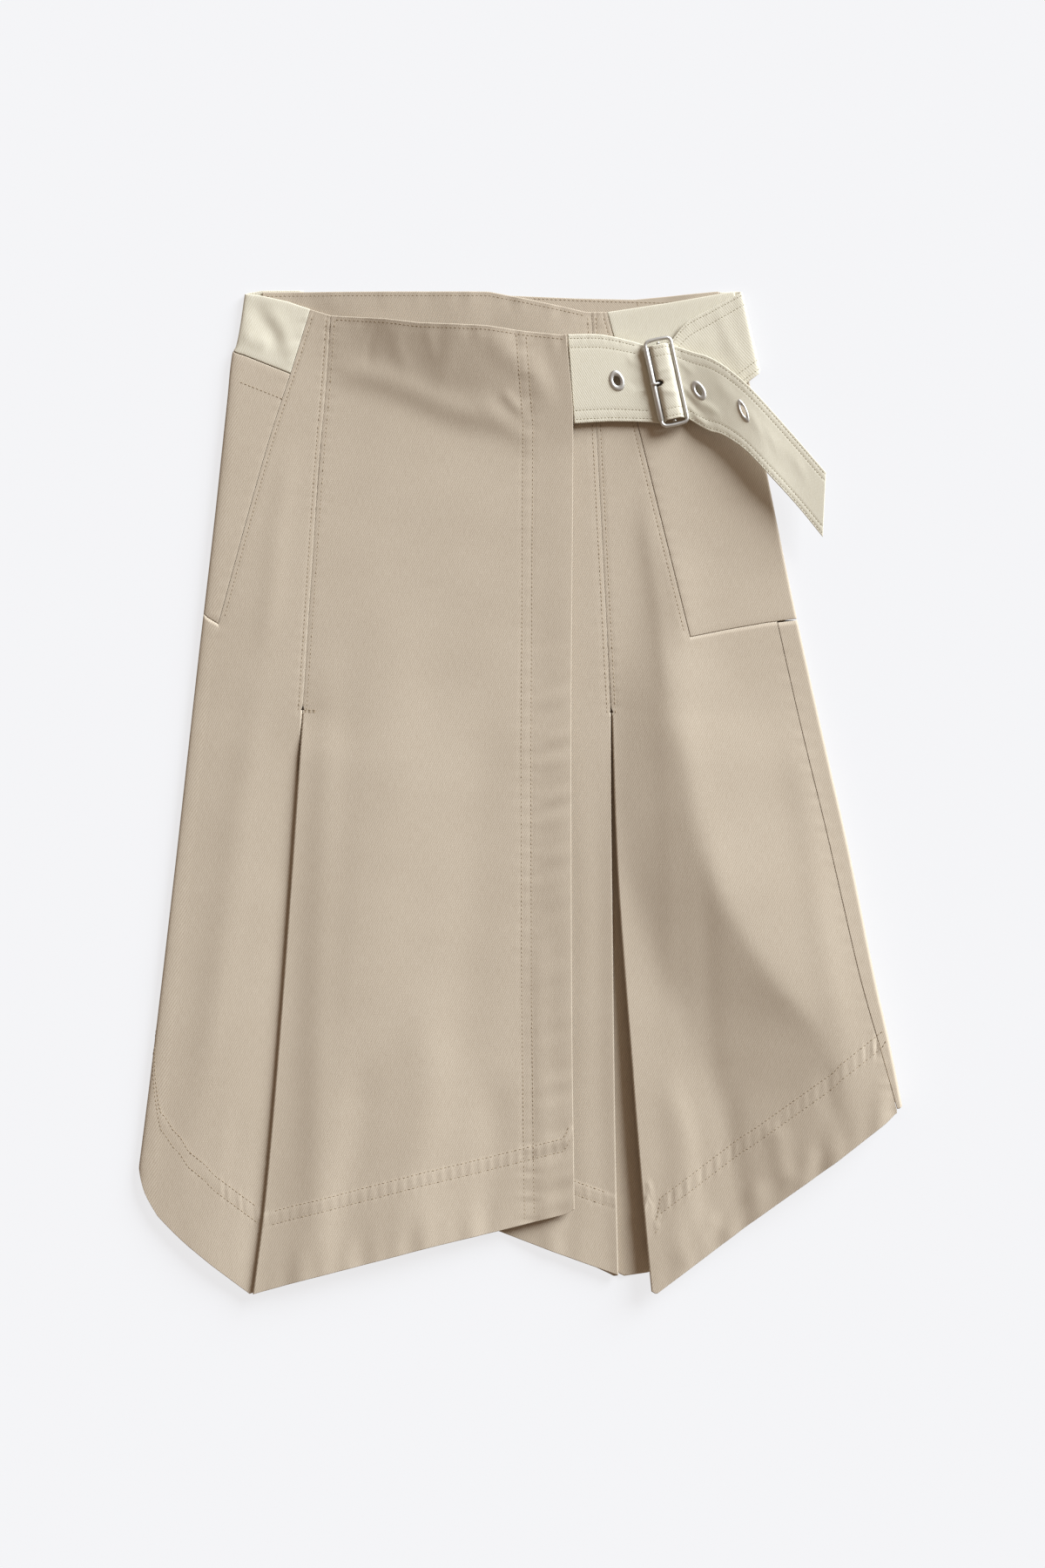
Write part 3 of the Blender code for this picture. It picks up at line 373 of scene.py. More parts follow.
def left_turn(up):
    """Length of the left turn: half an ellipse, its half depth half the front's height over the floor."""
    depth = (side_level(left_tangent(up), up) - FLOOR) / 2
    return half_ellipse(at(LEFT_ROLL, up), depth)


def right_turn(up):
    """Length of the right turn: half an ellipse, its half depth half the front's height over the back."""
    tangent = right_tangent(up)
    depth = (right_level(tangent, up) - back_level(tangent, up)) / 2
    return half_ellipse(curve(RIGHT_ROLL, up), depth)


def rolled(across, up, tangent, reach, turn, level, under, side):
    """Cloth over a side's roll and back under it: level to the tangent, then half an ellipse whose height's
    cosine is raised to a power below 1, so that its shoulders are full, then the level below. side is -1 on
    the left and 1 on the right."""
    beyond = (across - tangent) * side
    top = level(tangent, up)
    angle = np.pi * np.clip(beyond / turn, 0, 1)
    run = np.maximum(beyond - turn, 0)
    x = tangent + side * (reach * np.sin(angle) - run)
    low = under(x, up)
    height = np.sign(np.cos(angle)) * np.abs(np.cos(angle)) ** ROLL_POWER
    z = np.where(run > 0, low, (top + low) / 2 + (top - low) / 2 * height)
    flat = beyond <= 0
    return np.where(flat, across, x), np.where(flat, level(across, up), z)


def folded(across, up, fold, top, end, side):
    """Cloth pressed over a fold line: half a circle, then a return that runs down to the level end."""
    beyond = np.maximum((across - fold) * side, 0)
    bend = np.pi * PLEAT_FOLD
    angle = np.pi * np.clip(beyond / bend, 0, 1)
    run = np.maximum(beyond - bend, 0)
    x = fold + side * (PLEAT_FOLD * np.sin(angle) - run)
    share = soft((run - 6) / np.maximum(at(PLEAT_DEPTH, up) - 7, 1))
    return x, top - PLEAT_FOLD * (1 - np.cos(angle)) + (end - (top - 2 * PLEAT_FOLD)) * share


# ---- Grids and walls --------------------


def shares(count, first=0.0, last=0.0):
    """Even shares from 0 to 1, with two more close to an end where that end is a cloth's own edge."""
    near = [v for share in (0.3, 1) for v in (first * share, 1 - last * share) if 0 < v < 1]
    even = np.linspace(0, 1, count + 1)
    return np.sort(np.append(even, near))


def net(groups, levels, rows):
    """Cloth coordinates of a grid. Columns run between pairs of lines (start, end, shares) that depend on up,
    and rows between level lines that depend on across, so the two are worked out in turn until they agree."""
    starts = np.concatenate([np.full(len(part) - 1, k) for k, part in enumerate(rows)] + [[len(rows) - 1]])
    share = np.concatenate([part[:-1] for part in rows] + [[1]])[:, None]
    pick = np.arange(len(starts))
    columns = sum(len(group[2]) for group in groups)
    up = np.repeat(np.linspace(300, -300, len(starts))[:, None], columns, axis=1)
    for _ in range(14):
        parts = []
        first = 0
        for start, end, steps in groups:
            here = up[:, first:first + len(steps)]
            parts.append(start(here) + (end(here) - start(here)) * steps)
            first += len(steps)
        across = np.concatenate(parts, axis=1)
        lines = np.array([level(across) for level in levels])
        up = lines[starts, pick] * (1 - share) + lines[starts + 1, pick] * share
    return across, up


def line(table, shift=0.0):
    """A table as a function of place, by straight lines, plus a shift."""
    return lambda place: at(table, place) + shift


def bowed(table, shift=0.0):
    """A table as a function of place, by a smooth curve, plus a shift."""
    return lambda place: curve(table, place) + shift


def made(name, points, faces, uv=None):
    """A smooth mesh object from points in millimetres and faces of four."""
    mesh = bpy.data.meshes.new(name)
    mesh.vertices.add(len(points))
    mesh.vertices.foreach_set("co", (points * MM).astype(np.float32).ravel())
    mesh.loops.add(faces.size)
    mesh.loops.foreach_set("vertex_index", faces.astype(np.int32).ravel())
    mesh.polygons.add(len(faces))
    mesh.polygons.foreach_set("loop_start", np.arange(0, faces.size, 4, dtype=np.int32))
    mesh.update(calc_edges=True)
    if uv is not None:
        layer = mesh.uv_layers.new(name="cloth")
        layer.data.foreach_set("uv", (uv[faces.ravel()] * MM).astype(np.float32).ravel())
    mesh.shade_smooth()
    obj = bpy.data.objects.new(name, mesh)
    bpy.context.scene.collection.objects.link(obj)
    return obj


def normals(points):
    """Unit normals of a grid: across the directions down its columns and along its rows."""
    normal = np.cross(np.gradient(points, axis=0), np.gradient(points, axis=1))
    return normal / np.maximum(np.linalg.norm(normal, axis=2, keepdims=True), 1e-9)


def wall(name, points, cloth, thickness=WALL, keep=None):
    """A closed wall: the grid moved half its thickness each way along its normals, thinner at its four edges
    so that they look turned, with a rim round the squares that are kept."""
    rows, columns = points.shape[:2]
    half = np.full((rows, columns, 1), thickness / 2)
    half[[0, -1]] *= 0.45
    half[:, [0, -1]] *= 0.45
    normal = normals(points)
    index = np.arange(rows * columns).reshape(rows, columns)
    corners = np.stack([index[:-1, :-1], index[1:, :-1], index[1:, 1:], index[:-1, 1:]], axis=-1)
    quads = corners.reshape(-1, 4) if keep is None else corners[keep]
    count = rows * columns
    ends = np.concatenate([quads[:, [k, (k + 1) % 4]] for k in range(4)])
    alone = ~np.isin(ends[:, 1] * count + ends[:, 0], ends[:, 0] * count + ends[:, 1])
    a, b = ends[alone].T
    rim = np.stack([b, a, a + count, b + count], axis=1)
    faces = np.concatenate([quads, quads[:, ::-1] + count, rim])
    used, faces = np.unique(faces, return_inverse=True)
    both = np.concatenate([(points + normal * half).reshape(-1, 3), (points - normal * half).reshape(-1, 3)])
    flat = np.stack(np.broadcast_arrays(*cloth), axis=-1).reshape(-1, 2)
    return made(name, both[used], faces.reshape(-1, 4), np.concatenate([flat, flat])[used])


def placed(x, y, z):
    """Points from three arrays, spread over one grid."""
    return np.stack(np.broadcast_arrays(x, y, z), axis=-1)


PLEAT_BEND = np.pi * PLEAT_FOLD
BEND_SHARES = np.linspace(0, 1, 9)[1:]
RETURN_SHARES = np.linspace(0, 1, 9)[1:]


def beyond_fold(fold, side):
    """Column groups round a fold and along its return, out from the fold line."""
    def bent(up):
        return fold(up) + side * PLEAT_BEND

    def end(up):
        return bent(up) + side * at(PLEAT_DEPTH, up)
    return (fold, bent, BEND_SHARES), (bent, end, RETURN_SHARES)


def inward(groups):
    """The same columns from the far end of the return in to the fold."""
    return tuple((end, start, 1 - steps[::-1]) for start, end, steps in groups[::-1])


def whole(rows, across):
    """How many rows of faces each group has, and a mark for each face, all kept at first."""
    counts = [len(part) - 1 for part in rows]
    return counts, np.ones((sum(counts), across.shape[1] - 1), bool)


def hip_grooves(seam, top, end):
    """Shallow channels along a hip piece's slanted seam, its top and its end."""
    return -0.14 * hump(seam, 1.4) - 0.2 * (hump(top, 1.4) + hump(end, 1.4))


def underlay(name, folds, tack, hem, level, columns, rows):
    """A flat strip behind a pleat, out past each fold by the pleat's depth, from its tack to its hem."""
    def side(fold, way):
        return lambda up: curve(fold, up) + way * at(PLEAT_DEPTH, up)
    levels = (lambda a: 0 * a + tack + 3, line(hem))
    across, up = net(((side(folds[0], -1), side(folds[1], 1), columns),), levels, (rows,))
    return wall(name, placed(across, up, at(level, up)), (across, up))


def many(groups):
    """How many columns the groups have in all."""
    return sum(len(group[2]) for group in groups)


# ---- Left side --------------------


def left_seam(up):
    """The seam under the left side, along the cloth: past the turn by its run from the tangent."""
    seam = curve(LEFT_EDGE, up) + UNDER_WIDTH
    return left_tangent(up) - left_turn(up) - (seam - left_tangent(up))


def left_turned(up):
    """Where the left turn ends, along the cloth: the tangent less the turn's length."""
    return left_tangent(up) - left_turn(up)


def left_slant(up, shift=0.0):
    """The slanted seam, kept at least 1.5 mm in from where the side turns."""
    return np.maximum(curve(LEFT_SLANT, up) + shift, left_tangent(up) + 1.5 + shift)


def left_relief(across, up):
    """Swell, creases, the puckered slanted seam and the hem of the left side's cloths."""
    x = np.maximum(across, left_tangent(up) - 6)
    beside = across - curve(LEFT_SLANT, up)
    seam = puckers(beside, up, 0.4) * soft((up - 110) / 20)
    lie = 0.2 * drift(x, up, 2.1) + creases(SIDE_CREASES, x, up) + 0.16 * seam
    fold = across - curve(LEFT_PLEAT, up)
    return lie * (1 - 0.8 * hump(fold, 8) * opened(up))


def left_cloth(across, up, relief=left_relief):
    """Cloth rolled round the left side onto the floor, with a relief that fades round the turn."""
    x, z = rolled(across, up, left_tangent(up), at(LEFT_ROLL, up), left_turn(up), side_level,
                  lambda x, y: FLOOR + 0 * x, -1)
    beyond = (left_tangent(up) - across) / left_turn(up)
    return x, z + relief(across, up) * soft(1.1 - 2 * beyond)


LEFT_SIDE = ((left_seam, left_turned, np.linspace(0, 0.9, 10)),
             (left_turned, left_tangent, np.linspace(0, 1, 29)))


def left_piece(name, top, end, rows):
    """A hip piece from under the left side to the slanted seam, with grooves along its seams."""
    groups = LEFT_SIDE + ((left_tangent, lambda up: left_slant(up, -SEAM), shares(20, 0, 0.02)[1:]),)
    across, up = net(groups, (top, end), (rows,))

    def relief(a, u):
        groove = hip_grooves(a - left_slant(u), u - top(a), u - end(a))
        return left_relief(a, u) + groove
    x, z = left_cloth(across, up, relief)
    return wall(name, placed(x, up, z), (across, up))


def make_left_inset():
    """Left inset: from the waist to the pocket's top."""
    return left_piece("left_inset_cloth", line(LEFT_WAIST), line(LEFT_POCKET_TOP, 2 * SEAM),
                      shares(22, 0.02, 0.02))


def make_left_pocket():
    """Left pocket: from its top to its end."""
    return left_piece("left_pocket_cloth", line(LEFT_POCKET_TOP), line(LEFT_POCKET_END, SEAM),
                      shares(70, 0.004, 0.004))


def side_fold(up):
    """The pleat's line less half a seam, drawn back below the tack and tucked further down."""
    tuck = TUCK * soft((LEFT_TACK - 40 - up) / 60)
    inset = FOLD_REACH * soft((LEFT_TACK + 4 - up) / 4)
    return curve(LEFT_PLEAT, up) - SEAM / 2 - inset + tuck


def side_relief(across, up):
    """The side front's own relief: its stitched rows beside the seams, its hem, and the pocket's groove."""
    beside = across - left_slant(up)
    above = up - at(LEFT_POCKET_END, across)
    pocket = hump(beside, 1.6) * soft((above + 3) / 6) + hump(above, 1.6) * (across < left_slant(up) + 2)
    rows = row_groove(beside - 3.4) * soft((above + 3) / 6)
    seam = across - curve(LEFT_PLEAT, up)
    shut = soft((up - LEFT_TACK + 6) / 6)
    rows = rows + (row_groove(seam + 3.2) - 0.25 * hump(seam, 1.2)) * shut
    lie = left_relief(across, up) + 0.18 * puckers(seam + 3.2, up, 1.3, 5, 10) * shut
    return lie - 0.16 * pocket + rows + 0.4 * hem_relief(SIDE_HEM_FRONT, across, up, 0.7)


def make_side_front():
    """Round the left side, across to the fold, then round it and back into the pleat."""
    turned = beyond_fold(side_fold, 1)
    front = ((left_slant, side_fold, shares(44, 0.01, 0.02)),)
    side = LEFT_SIDE + ((left_tangent, left_slant, np.linspace(0, 1, 9)[1:-1]),)
    groups = side + front + turned
    levels = (line(LEFT_WAIST), line(LEFT_POCKET_END), lambda a: 0 * a + LEFT_TACK, line(SIDE_HEM, 66),
              line(SIDE_HEM))
    rows = (shares(66, 0.004), shares(22), shares(104), shares(44, 0, 0.01))
    across, up = net(groups, levels, rows)
    x, z = left_cloth(across, up, side_relief)
    fold = side_fold(up)
    fx, fz = folded(across, up, fold, left_cloth(fold, up, side_relief)[1], at(SIDE_RETURN, up), 1)
    x, z = np.where(across > fold, fx, x), np.where(across > fold, fz, z)
    counts, keep = whole(rows, across)
    keep[:counts[0], :many(side)] = False
    keep[:counts[0] + counts[1], many(side + front) - 1:] = False
    return wall("side_front_cloth", placed(x, up, z), (across, up), keep=keep)


# ---- Wrap --------------------


def wrap_fold(up):
    """The pleat's line plus half a seam, and out by the fold's reach below the tack."""
    inset = FOLD_REACH * soft((LEFT_TACK + 4 - up) / 4)
    return curve(LEFT_PLEAT, up) + SEAM / 2 + inset


def wrap_relief(across, up):
    """Swell and creases, the stitched pleat seam, the facing's two rows, the puckered edge and the hem."""
    seam = across - curve(LEFT_PLEAT, up)
    shut = soft((up - LEFT_TACK + 6) / 6)
    facing = across - (at(WRAP_EDGE, up) - 38.5)
    rows = row_groove(facing) + row_groove(facing - 7.6) + row_groove(seam - 3.2) * shut
    edge = at(WRAP_EDGE, up) - across
    slanted = up + 0.4 * edge + 5 * np.sin(up / 41)
    waves = 0.18 * puckers(seam - 3.2, up, 2.2, 5, 10) * shut + 0.14 * puckers(facing - 4, up, 1.8, 8, 12) \
        + 0.3 * puckers(edge - 12, slanted, 0.9, 13, 27) * soft((150 - up) / 80)
    lie = 0.25 * drift(across, up, 0.6) + creases(WRAP_CREASES, across, up)
    lie = lie * (1 - 0.7 * hump(seam, 10) * opened(up)) * soft(0.25 + edge / 40)
    lie = lie + curve(WRAP_LIP, up) * (1 - soft(edge / 34))
    top = at(WRAP_WAIST, across) - up
    waist = 0.22 * puckers(top, across, 0.2, 12, 19) + row_groove(top - 3)
    return lie + rows + waves + waist - 0.25 * hump(seam, 1.2) * shut + hem_relief(WRAP_HEM, across, up, 2.6)


def wrap_top(across, up):
    """The wrap's level plus its relief."""
    return wrap_level(across, up) + wrap_relief(across, up)


def make_centre_front():
    """From the return in the pleat, round the fold, then across to the wrap's edge."""
    turned = inward(beyond_fold(wrap_fold, -1))
    front = ((wrap_fold, bowed(WRAP_EDGE), shares(96, 0.003, 0.003)),)
    levels = (line(WRAP_WAIST), lambda a: 0 * a + LEFT_TACK, line(WRAP_HEM, 66), line(WRAP_HEM))
    rows = (shares(88, 0.003), shares(104), shares(44, 0, 0.01))
    across, up = net(turned + front, levels, rows)
    fold = wrap_fold(up)
    fx, fz = folded(across, up, fold, wrap_top(fold, up), at(WRAP_RETURN, up), -1)
    x, z = np.where(across < fold, fx, across), np.where(across < fold, fz, wrap_top(across, up))
    counts, keep = whole(rows, across)
    keep[:counts[0], :many(turned)] = False
    return wall("centre_front_cloth", placed(x, up, z), (across, up), keep=keep)


def make_left_underlay():
    """Left underlay: its two sides are the pleat's line less and plus the pleat's depth."""
    return underlay("left_underlay_cloth", (LEFT_PLEAT, LEFT_PLEAT), LEFT_TACK, LEFT_UNDER_HEM, LEFT_UNDER,
                    shares(16), shares(90))


# ---- Right side --------------------


def underlap_fold(up):
    """The seam above the tack, moving to the inner fold, less its roll and half a wall, below it."""
    seam = at(RIGHT_PLEAT, up) - SEAM / 2
    inner = curve(INNER_FOLD, up) - at(INNER_ROLL, up) - WALL / 2
    return seam + (inner - seam) * soft((RIGHT_TACK + 4 - up) / 4)


def inner_turn(up):
    """Length of the fold's turn: half an ellipse between the strip and the return under it."""
    return half_ellipse(at(INNER_ROLL, up), (strip_level(up) - at(INNER_RETURN, up)) / 2)


def underlap_relief(across, up):
    """Seam rows and puckers where the pleat is shut, plus hem, drift, creases and the waist's row."""
    seam = across - at(RIGHT_PLEAT, up)
    shut = soft((up - RIGHT_TACK + 6) / 6)
    rows = (row_groove(seam + 3.2) - 0.25 * hump(seam, 1.2)) * shut
    waves = 0.16 * puckers(seam + 3.2, up, 0.5, 5, 10) * shut
    hem = hem_relief(UNDERLAP_HEM, across, up, 1.9) * soft((across + 30) / 40)
    top = at(UNDERLAP_WAIST, across) - up
    return (rows + waves + hem + 0.3 * drift(across, up, 4.4) * soft((up - 300) / 60)
            + creases(UNDERLAP_CREASES, across, up) + 0.2 * puckers(top, across, 1.1, 10, 21)
            + row_groove(top - 3))


def underlap_top(across, up):
    """The underlap's level plus its relief."""
    return underlap_level(across, up) + underlap_relief(across, up)


def make_underlap():
    """Across to the fold, round it, then back under by 0.85 of the pleat's depth."""
    def turned(up):
        return underlap_fold(up) + inner_turn(up)

    def end(up):
        return turned(up) + 0.85 * at(PLEAT_DEPTH, up)
    front = ((line(UNDERLAP_START), underlap_fold, shares(88, 0.004, 0.003)),)
    groups = front + ((underlap_fold, turned, np.linspace(0, 1, 15)[1:]), (turned, end, RETURN_SHARES))
    levels = (line(UNDERLAP_WAIST), lambda a: 0 * a + RIGHT_TACK, line(UNDERLAP_HEM, 66), line(UNDERLAP_HEM))
    rows = (shares(88, 0.003), shares(96), shares(44, 0, 0.01))
    across, up = net(groups, levels, rows)
    low = at(INNER_RETURN, up)
    x, z = rolled(across, up, underlap_fold(up), at(INNER_ROLL, up), inner_turn(up), underlap_top,
                  lambda x, y: low, 1)
    counts, keep = whole(rows, across)
    keep[:counts[0], many(front) - 1:] = False
    return wall("underlap_cloth", placed(x, up, z), (across, up), keep=keep)


def make_right_underlay():
    """Right underlay: from the inner fold less the pleat's depth to the outer fold plus it."""
    return underlay("right_underlay_cloth", (INNER_FOLD, OUTER_FOLD), RIGHT_TACK, RIGHT_UNDER_HEM,
                    RIGHT_UNDER, shares(20), shares(110, 0, 0.003))


def front_fold(up):
    """The seam above the tack, moving to the outer fold plus the fold's reach below it."""
    seam = at(RIGHT_PLEAT, up) + SEAM / 2
    inner = curve(OUTER_FOLD, up) + FOLD_REACH
    return seam + (inner - seam) * soft((RIGHT_TACK + 4 - up) / 4)


def right_relief(across, up):
    """Swell and creases of the right side's cloths. It dies out under the strap and at the side's roll."""
    x = np.minimum(across, right_tangent(up) + 6)
    free = soft((285 - up) / 45)
    beside = across - at(RIGHT_SLANT, up)
    seam = puckers(beside, up, 2.9) * soft((up - 105) / 15)
    return (0.22 * drift(x, up, 1.4) + creases(RIGHT_CREASES, x, up) + 0.16 * seam) * free


def right_cloth(across, up, relief=right_relief):
    """Cloth rolled round the right side onto the back, with a relief that fades round the turn."""
    x, z = rolled(across, up, right_tangent(up), curve(RIGHT_ROLL, up), right_turn(up), right_level,
                  back_level, 1)
    beyond = (across - right_tangent(up)) / right_turn(up)
    return x, z + relief(across, up) * soft(1.1 - 2 * beyond)


def side_seam(up):
    """The side seam: where the right side turns, moved by its table."""
    return right_tangent(up) + curve(SIDE_SEAM, up)


def near_side(up):
    """20 mm in from where the right side turns."""
    return right_tangent(up) - 20


def front_relief(across, up):
    """The right front's own relief: stitched rows beside its seams, its hem, and the pocket's groove."""
    slant = at(RIGHT_SLANT, up)
    above = up - at(RIGHT_POCKET_END, across)
    beside = across - slant
    pocket = hump(beside, 1.6) * soft((above + 3) / 6) + hump(above, 1.6) * (across > slant - 2)
    seam = across - at(RIGHT_PLEAT, up)
    shut = soft((up - RIGHT_TACK + 6) / 6)
    rows = ((row_groove(seam - 3.2) - 0.25 * hump(seam, 1.2)) * shut
            + row_groove(beside + 3.4) * soft((above + 3) / 6))
    fold = across - front_fold(up)
    side = puckers(across - side_seam(up), up, 1.2, 7, 14)
    lie = right_relief(across, up) * (1 - 0.7 * hump(fold, 8) * (1 - shut))
    return lie + rows - 0.16 * pocket + 0.16 * puckers(seam - 3.2, up, 0.1, 5, 10) * shut + 0.14 * side \
        + 1.45 * hem_relief(RIGHT_HEM, across, up, 1.1)


def make_right_front():
    """From the return in the pleat, round the fold, then across to the side seam."""
    turned = inward(beyond_fold(front_fold, -1))
    slant = line(RIGHT_SLANT)
    front = ((front_fold, slant, shares(40, 0.01, 0.01)),)
    side = ((slant, near_side, np.linspace(0, 1, 41)[1:]), (near_side, side_seam, shares(20, 0, 0.01)[1:]))
    levels = (line(RIGHT_WAIST), line(RIGHT_POCKET_END), lambda a: 0 * a + RIGHT_TACK, line(RIGHT_HEM, 80),
              line(RIGHT_HEM))
    rows = (shares(70, 0.004), shares(20), shares(96), shares(52, 0, 0.01))
    across, up = net(turned + front + side, levels, rows)
    x, z = right_cloth(across, up, front_relief)
    fold = front_fold(up)
    top = right_cloth(fold, up, front_relief)[1]
    fx, fz = folded(across, up, fold, top, at(FRONT_RETURN, up), -1)
    x, z = np.where(across < fold, fx, x), np.where(across < fold, fz, z)
    counts, keep = whole(rows, across)
    keep[:counts[0] + counts[1], :many(turned)] = False
    keep[:counts[0], many(turned + front) - 1:] = False
    return wall("right_front_cloth", placed(x, up, z), (across, up), keep=keep)


def right_turned(up):
    """Where the right turn ends, along the cloth: the tangent plus the turn's length."""
    return right_tangent(up) + right_turn(up)


def right_piece(name, top, end, rows):
    """A hip piece from the slanted seam round and under the right side, with grooves along its seams."""
    groups = ((line(RIGHT_SLANT, SEAM), near_side, shares(40, 0.01)),
              (near_side, right_tangent, shares(6)[1:]),
              (right_tangent, right_turned, np.linspace(0, 1, 25)[1:]),
              (right_turned, lambda up: right_turned(up) + POCKET_UNDER, shares(4, 0, 0.05)[1:]))
    across, up = net(groups, (top, end), (rows,))

    def relief(a, u):
        groove = hip_grooves(a - at(RIGHT_SLANT, u), u - top(a), u - end(a))
        return right_relief(a, u) + groove
    x, z = right_cloth(across, up, relief)
    return wall(name, placed(x, up, z), (across, up))


def make_right_inset():
    """Right inset: from the waist to the pocket's top."""
    return right_piece("right_inset_cloth", line(RIGHT_WAIST), line(RIGHT_POCKET_TOP, 2 * SEAM),
                       shares(24, 0.02, 0.02))


def make_right_pocket():
    """Right pocket: from its top to its end."""
    return right_piece("right_pocket_cloth", line(RIGHT_POCKET_TOP), line(RIGHT_POCKET_END, SEAM),
                       shares(72, 0.004, 0.004))


def back_relief(across, up):
    """On the strip by the side seam the back moves as the front does; underneath it is nearly flat."""
    beyond = across - right_turned(up)
    seam = puckers(across - side_seam(up), up, 1.2, 7, 14)
    return 0.14 * seam * (beyond < 0) + (right_relief(across, up)) * soft(-beyond / 12)


def make_back():
    """From the side seam round the right side, then flat under the fronts to the left seam."""
    def start(up):
        return side_seam(up) + SEAM

    def left(up):
        run = right_tangent(up) - (curve(LEFT_EDGE, up) + UNDER_WIDTH + SEAM)
        return right_turned(up) + run

    def pocket_edge(up):
        return right_turned(up) + POCKET_UNDER + SEAM
    strip = ((start, right_turned, shares(24, 0.02)),)
    flat = ((pocket_edge, left, shares(84, 0.004, 0.003)),)
    levels = (line_from(BACK_WAIST, TOP_EDGE), line(RIGHT_POCKET_END, -3 * SEAM),
              line_from(BACK_HEM, LOW_EDGE))
    rows = (shares(60, 0.003), shares(100, 0, 0.003))
    across, up = net(strip + flat, levels, rows)
    x, z = right_cloth(across, up, back_relief)
    counts, keep = whole(rows, across)
    keep[:counts[0], :many(strip)] = False
    return wall("back_cloth", placed(x, up, z), (across, up), keep=keep)


def line_from(table, start):
    """An edge of the back, against the distance from the right side's fold."""
    return lambda across: at(table, across - start)


# ---- Belt and strap --------------------


def on_buckle(across, half, level, slip=0.0):
    """A row across the buckle: its middle less and plus a half width along the buckle, at one level."""
    middle = BUCKLE_MIDDLE + ACROSS_BUCKLE * across + ALONG_BUCKLE * slip
    return (*(middle - ALONG_BUCKLE * half), level, *(middle + ALONG_BUCKLE * half), level)


# Rows of (top edge's x, y, level, lower edge's x, y, level)
BELT_ROWS = np.array((
    (36.6, 352, 11.5, 41.8, 283.5, 9.2),
    (62, 352, 10.4, 69, 285, 8.9),
    (84, 347.5, 9.2, 98.5, 284.5, 9.1),
    on_buckle(-10.05, 30.9, 8.7, -0.4),
    on_buckle(-7.5, 29.8, 9.7),
    on_buckle(-6.6, 29.2, 12.9),
    on_buckle(-4.9, 29.2, 14.4),
    on_buckle(0, 29.2, 14.9),
    on_buckle(4.8, 29.2, 14.5),
    on_buckle(7.3, 29.2, 12.3, 0.8),
    on_buckle(10.05, 29.2, 9.9, 1.8),
    (132, 338.8, 11.5, 144.5, 278, 12.3),
    (145, 334.6, 13.5, 157, 273.5, 14.5),
    (159, 326, 15.5, 173.5, 262, 17),
    (177.5, 310, 17.5, 191.5, 243, 18.5),
    (206.5, 278, 17.8, 212.5, 220, 18.4),
    (235, 245, 19, 232.5, 195.5, 18.9),
))
STRAP_ROWS = np.array((
    on_buckle(18, 28, 6.3),
    on_buckle(8, 28.5, 6.2),
    on_buckle(3.6, 27.9, 6.5),
    on_buckle(0, 27.9, 7.5),
    on_buckle(-1.8, 27.9, 8.45),
    on_buckle(-2.5, 27.9, 10.3),
    on_buckle(-1.8, 27.9, 12.1),
    on_buckle(0, 27.9, 12.95),
    on_buckle(1.8, 27.9, 12.1),
    on_buckle(3.3, 27.9, 10.2),
    on_buckle(6, 29, 8.6),
    on_buckle(10.05, 30, 7.9),
    (128, 361.5, 7.6, 141, 290, 7.8),
    (146, 371.5, 7.5, 158, 302, 7.8),
    (161, 379.5, 7.6, 173, 313.5, 8.1),
    (169.3, 384.1, 7.7, 182.7, 320.8, 8.1),
    (170.7, 384.9, 6.7, 184.5, 322.8, 7),
    (170.7, 385.3, 4.1, 184.8, 325, 4.4),
    (169.3, 386, 1.5, 183.2, 327, 1.5),
    (161, 386, 0.75, 175, 326, 0.75),
    (138, 384, 0.75, 150, 322, 0.75),
))


def flow(rows, place):
    """A smooth curve through rows, at places counted in rows: cubic, with central differences as slopes."""
    start = np.clip(np.floor(place).astype(int), 0, len(rows) - 2)
    share = (place - start)[..., None]
    slope = np.gradient(rows, axis=0)
    a, b, da, db = rows[start], rows[start + 1], slope[start], slope[start + 1]
    square, cube = share**2, share**3
    return (2 * cube - 3 * square + 1) * a + (cube - 2 * square + share) * da + (3 * square - 2 * cube) * b \
        + (cube - square) * db


def band_table(rows):
    """Distance along a band's middle against its place in rows."""
    places = np.linspace(0, len(rows) - 1, 900)
    edges = flow(rows, places)
    steps = np.linalg.norm(np.diff((edges[:, :3] + edges[:, 3:]) / 2, axis=0), axis=1)
    return np.concatenate([[0], np.cumsum(steps)]), places


BELT_TABLE = band_table(BELT_ROWS)
STRAP_TABLE = band_table(STRAP_ROWS)


def band_surface(rows, table, along, share, height=0.0):
    """Points over a band: straight between its edges, moved along the normal by height."""
    along, share, height = np.broadcast_arrays(along, share, height)

    def point(a, s):
        edges = flow(rows, np.interp(a, *table))
        return edges[..., :3] * (1 - s[..., None]) + edges[..., 3:] * s[..., None]
    right = point(along + 0.5, share) - point(along - 0.5, share)
    down = point(along, share + 0.01) - point(along, share - 0.01)
    normal = np.cross(down, right)
    normal /= np.linalg.norm(normal, axis=-1, keepdims=True)
    return point(along, share) + normal * height[..., None]


def band_relief(along, share, rows_at, seed, folds):
    """A band's edges are turned in, its rows of stitches sink, and it swells a little between them."""
    across = share * BELT_WIDTH
    edge = np.minimum(across, BELT_WIDTH - across)
    grooves = sum(row_groove(across - row) for row in rows_at)
    waves = 0.05 * puckers(edge - 2, along, seed, 5,
                           9) + 0.08 * np.sin(along / 17 + seed) * np.sin(across / 19)
    return grooves + waves + creases(folds, along, across) - 0.1 * hump(edge, 1.2)


BELT_STITCHES = (3.0, 9.8, 56.4, 63.0)
STRAP_STITCHES = (2.4, 10.0, 55.5, 62.5)
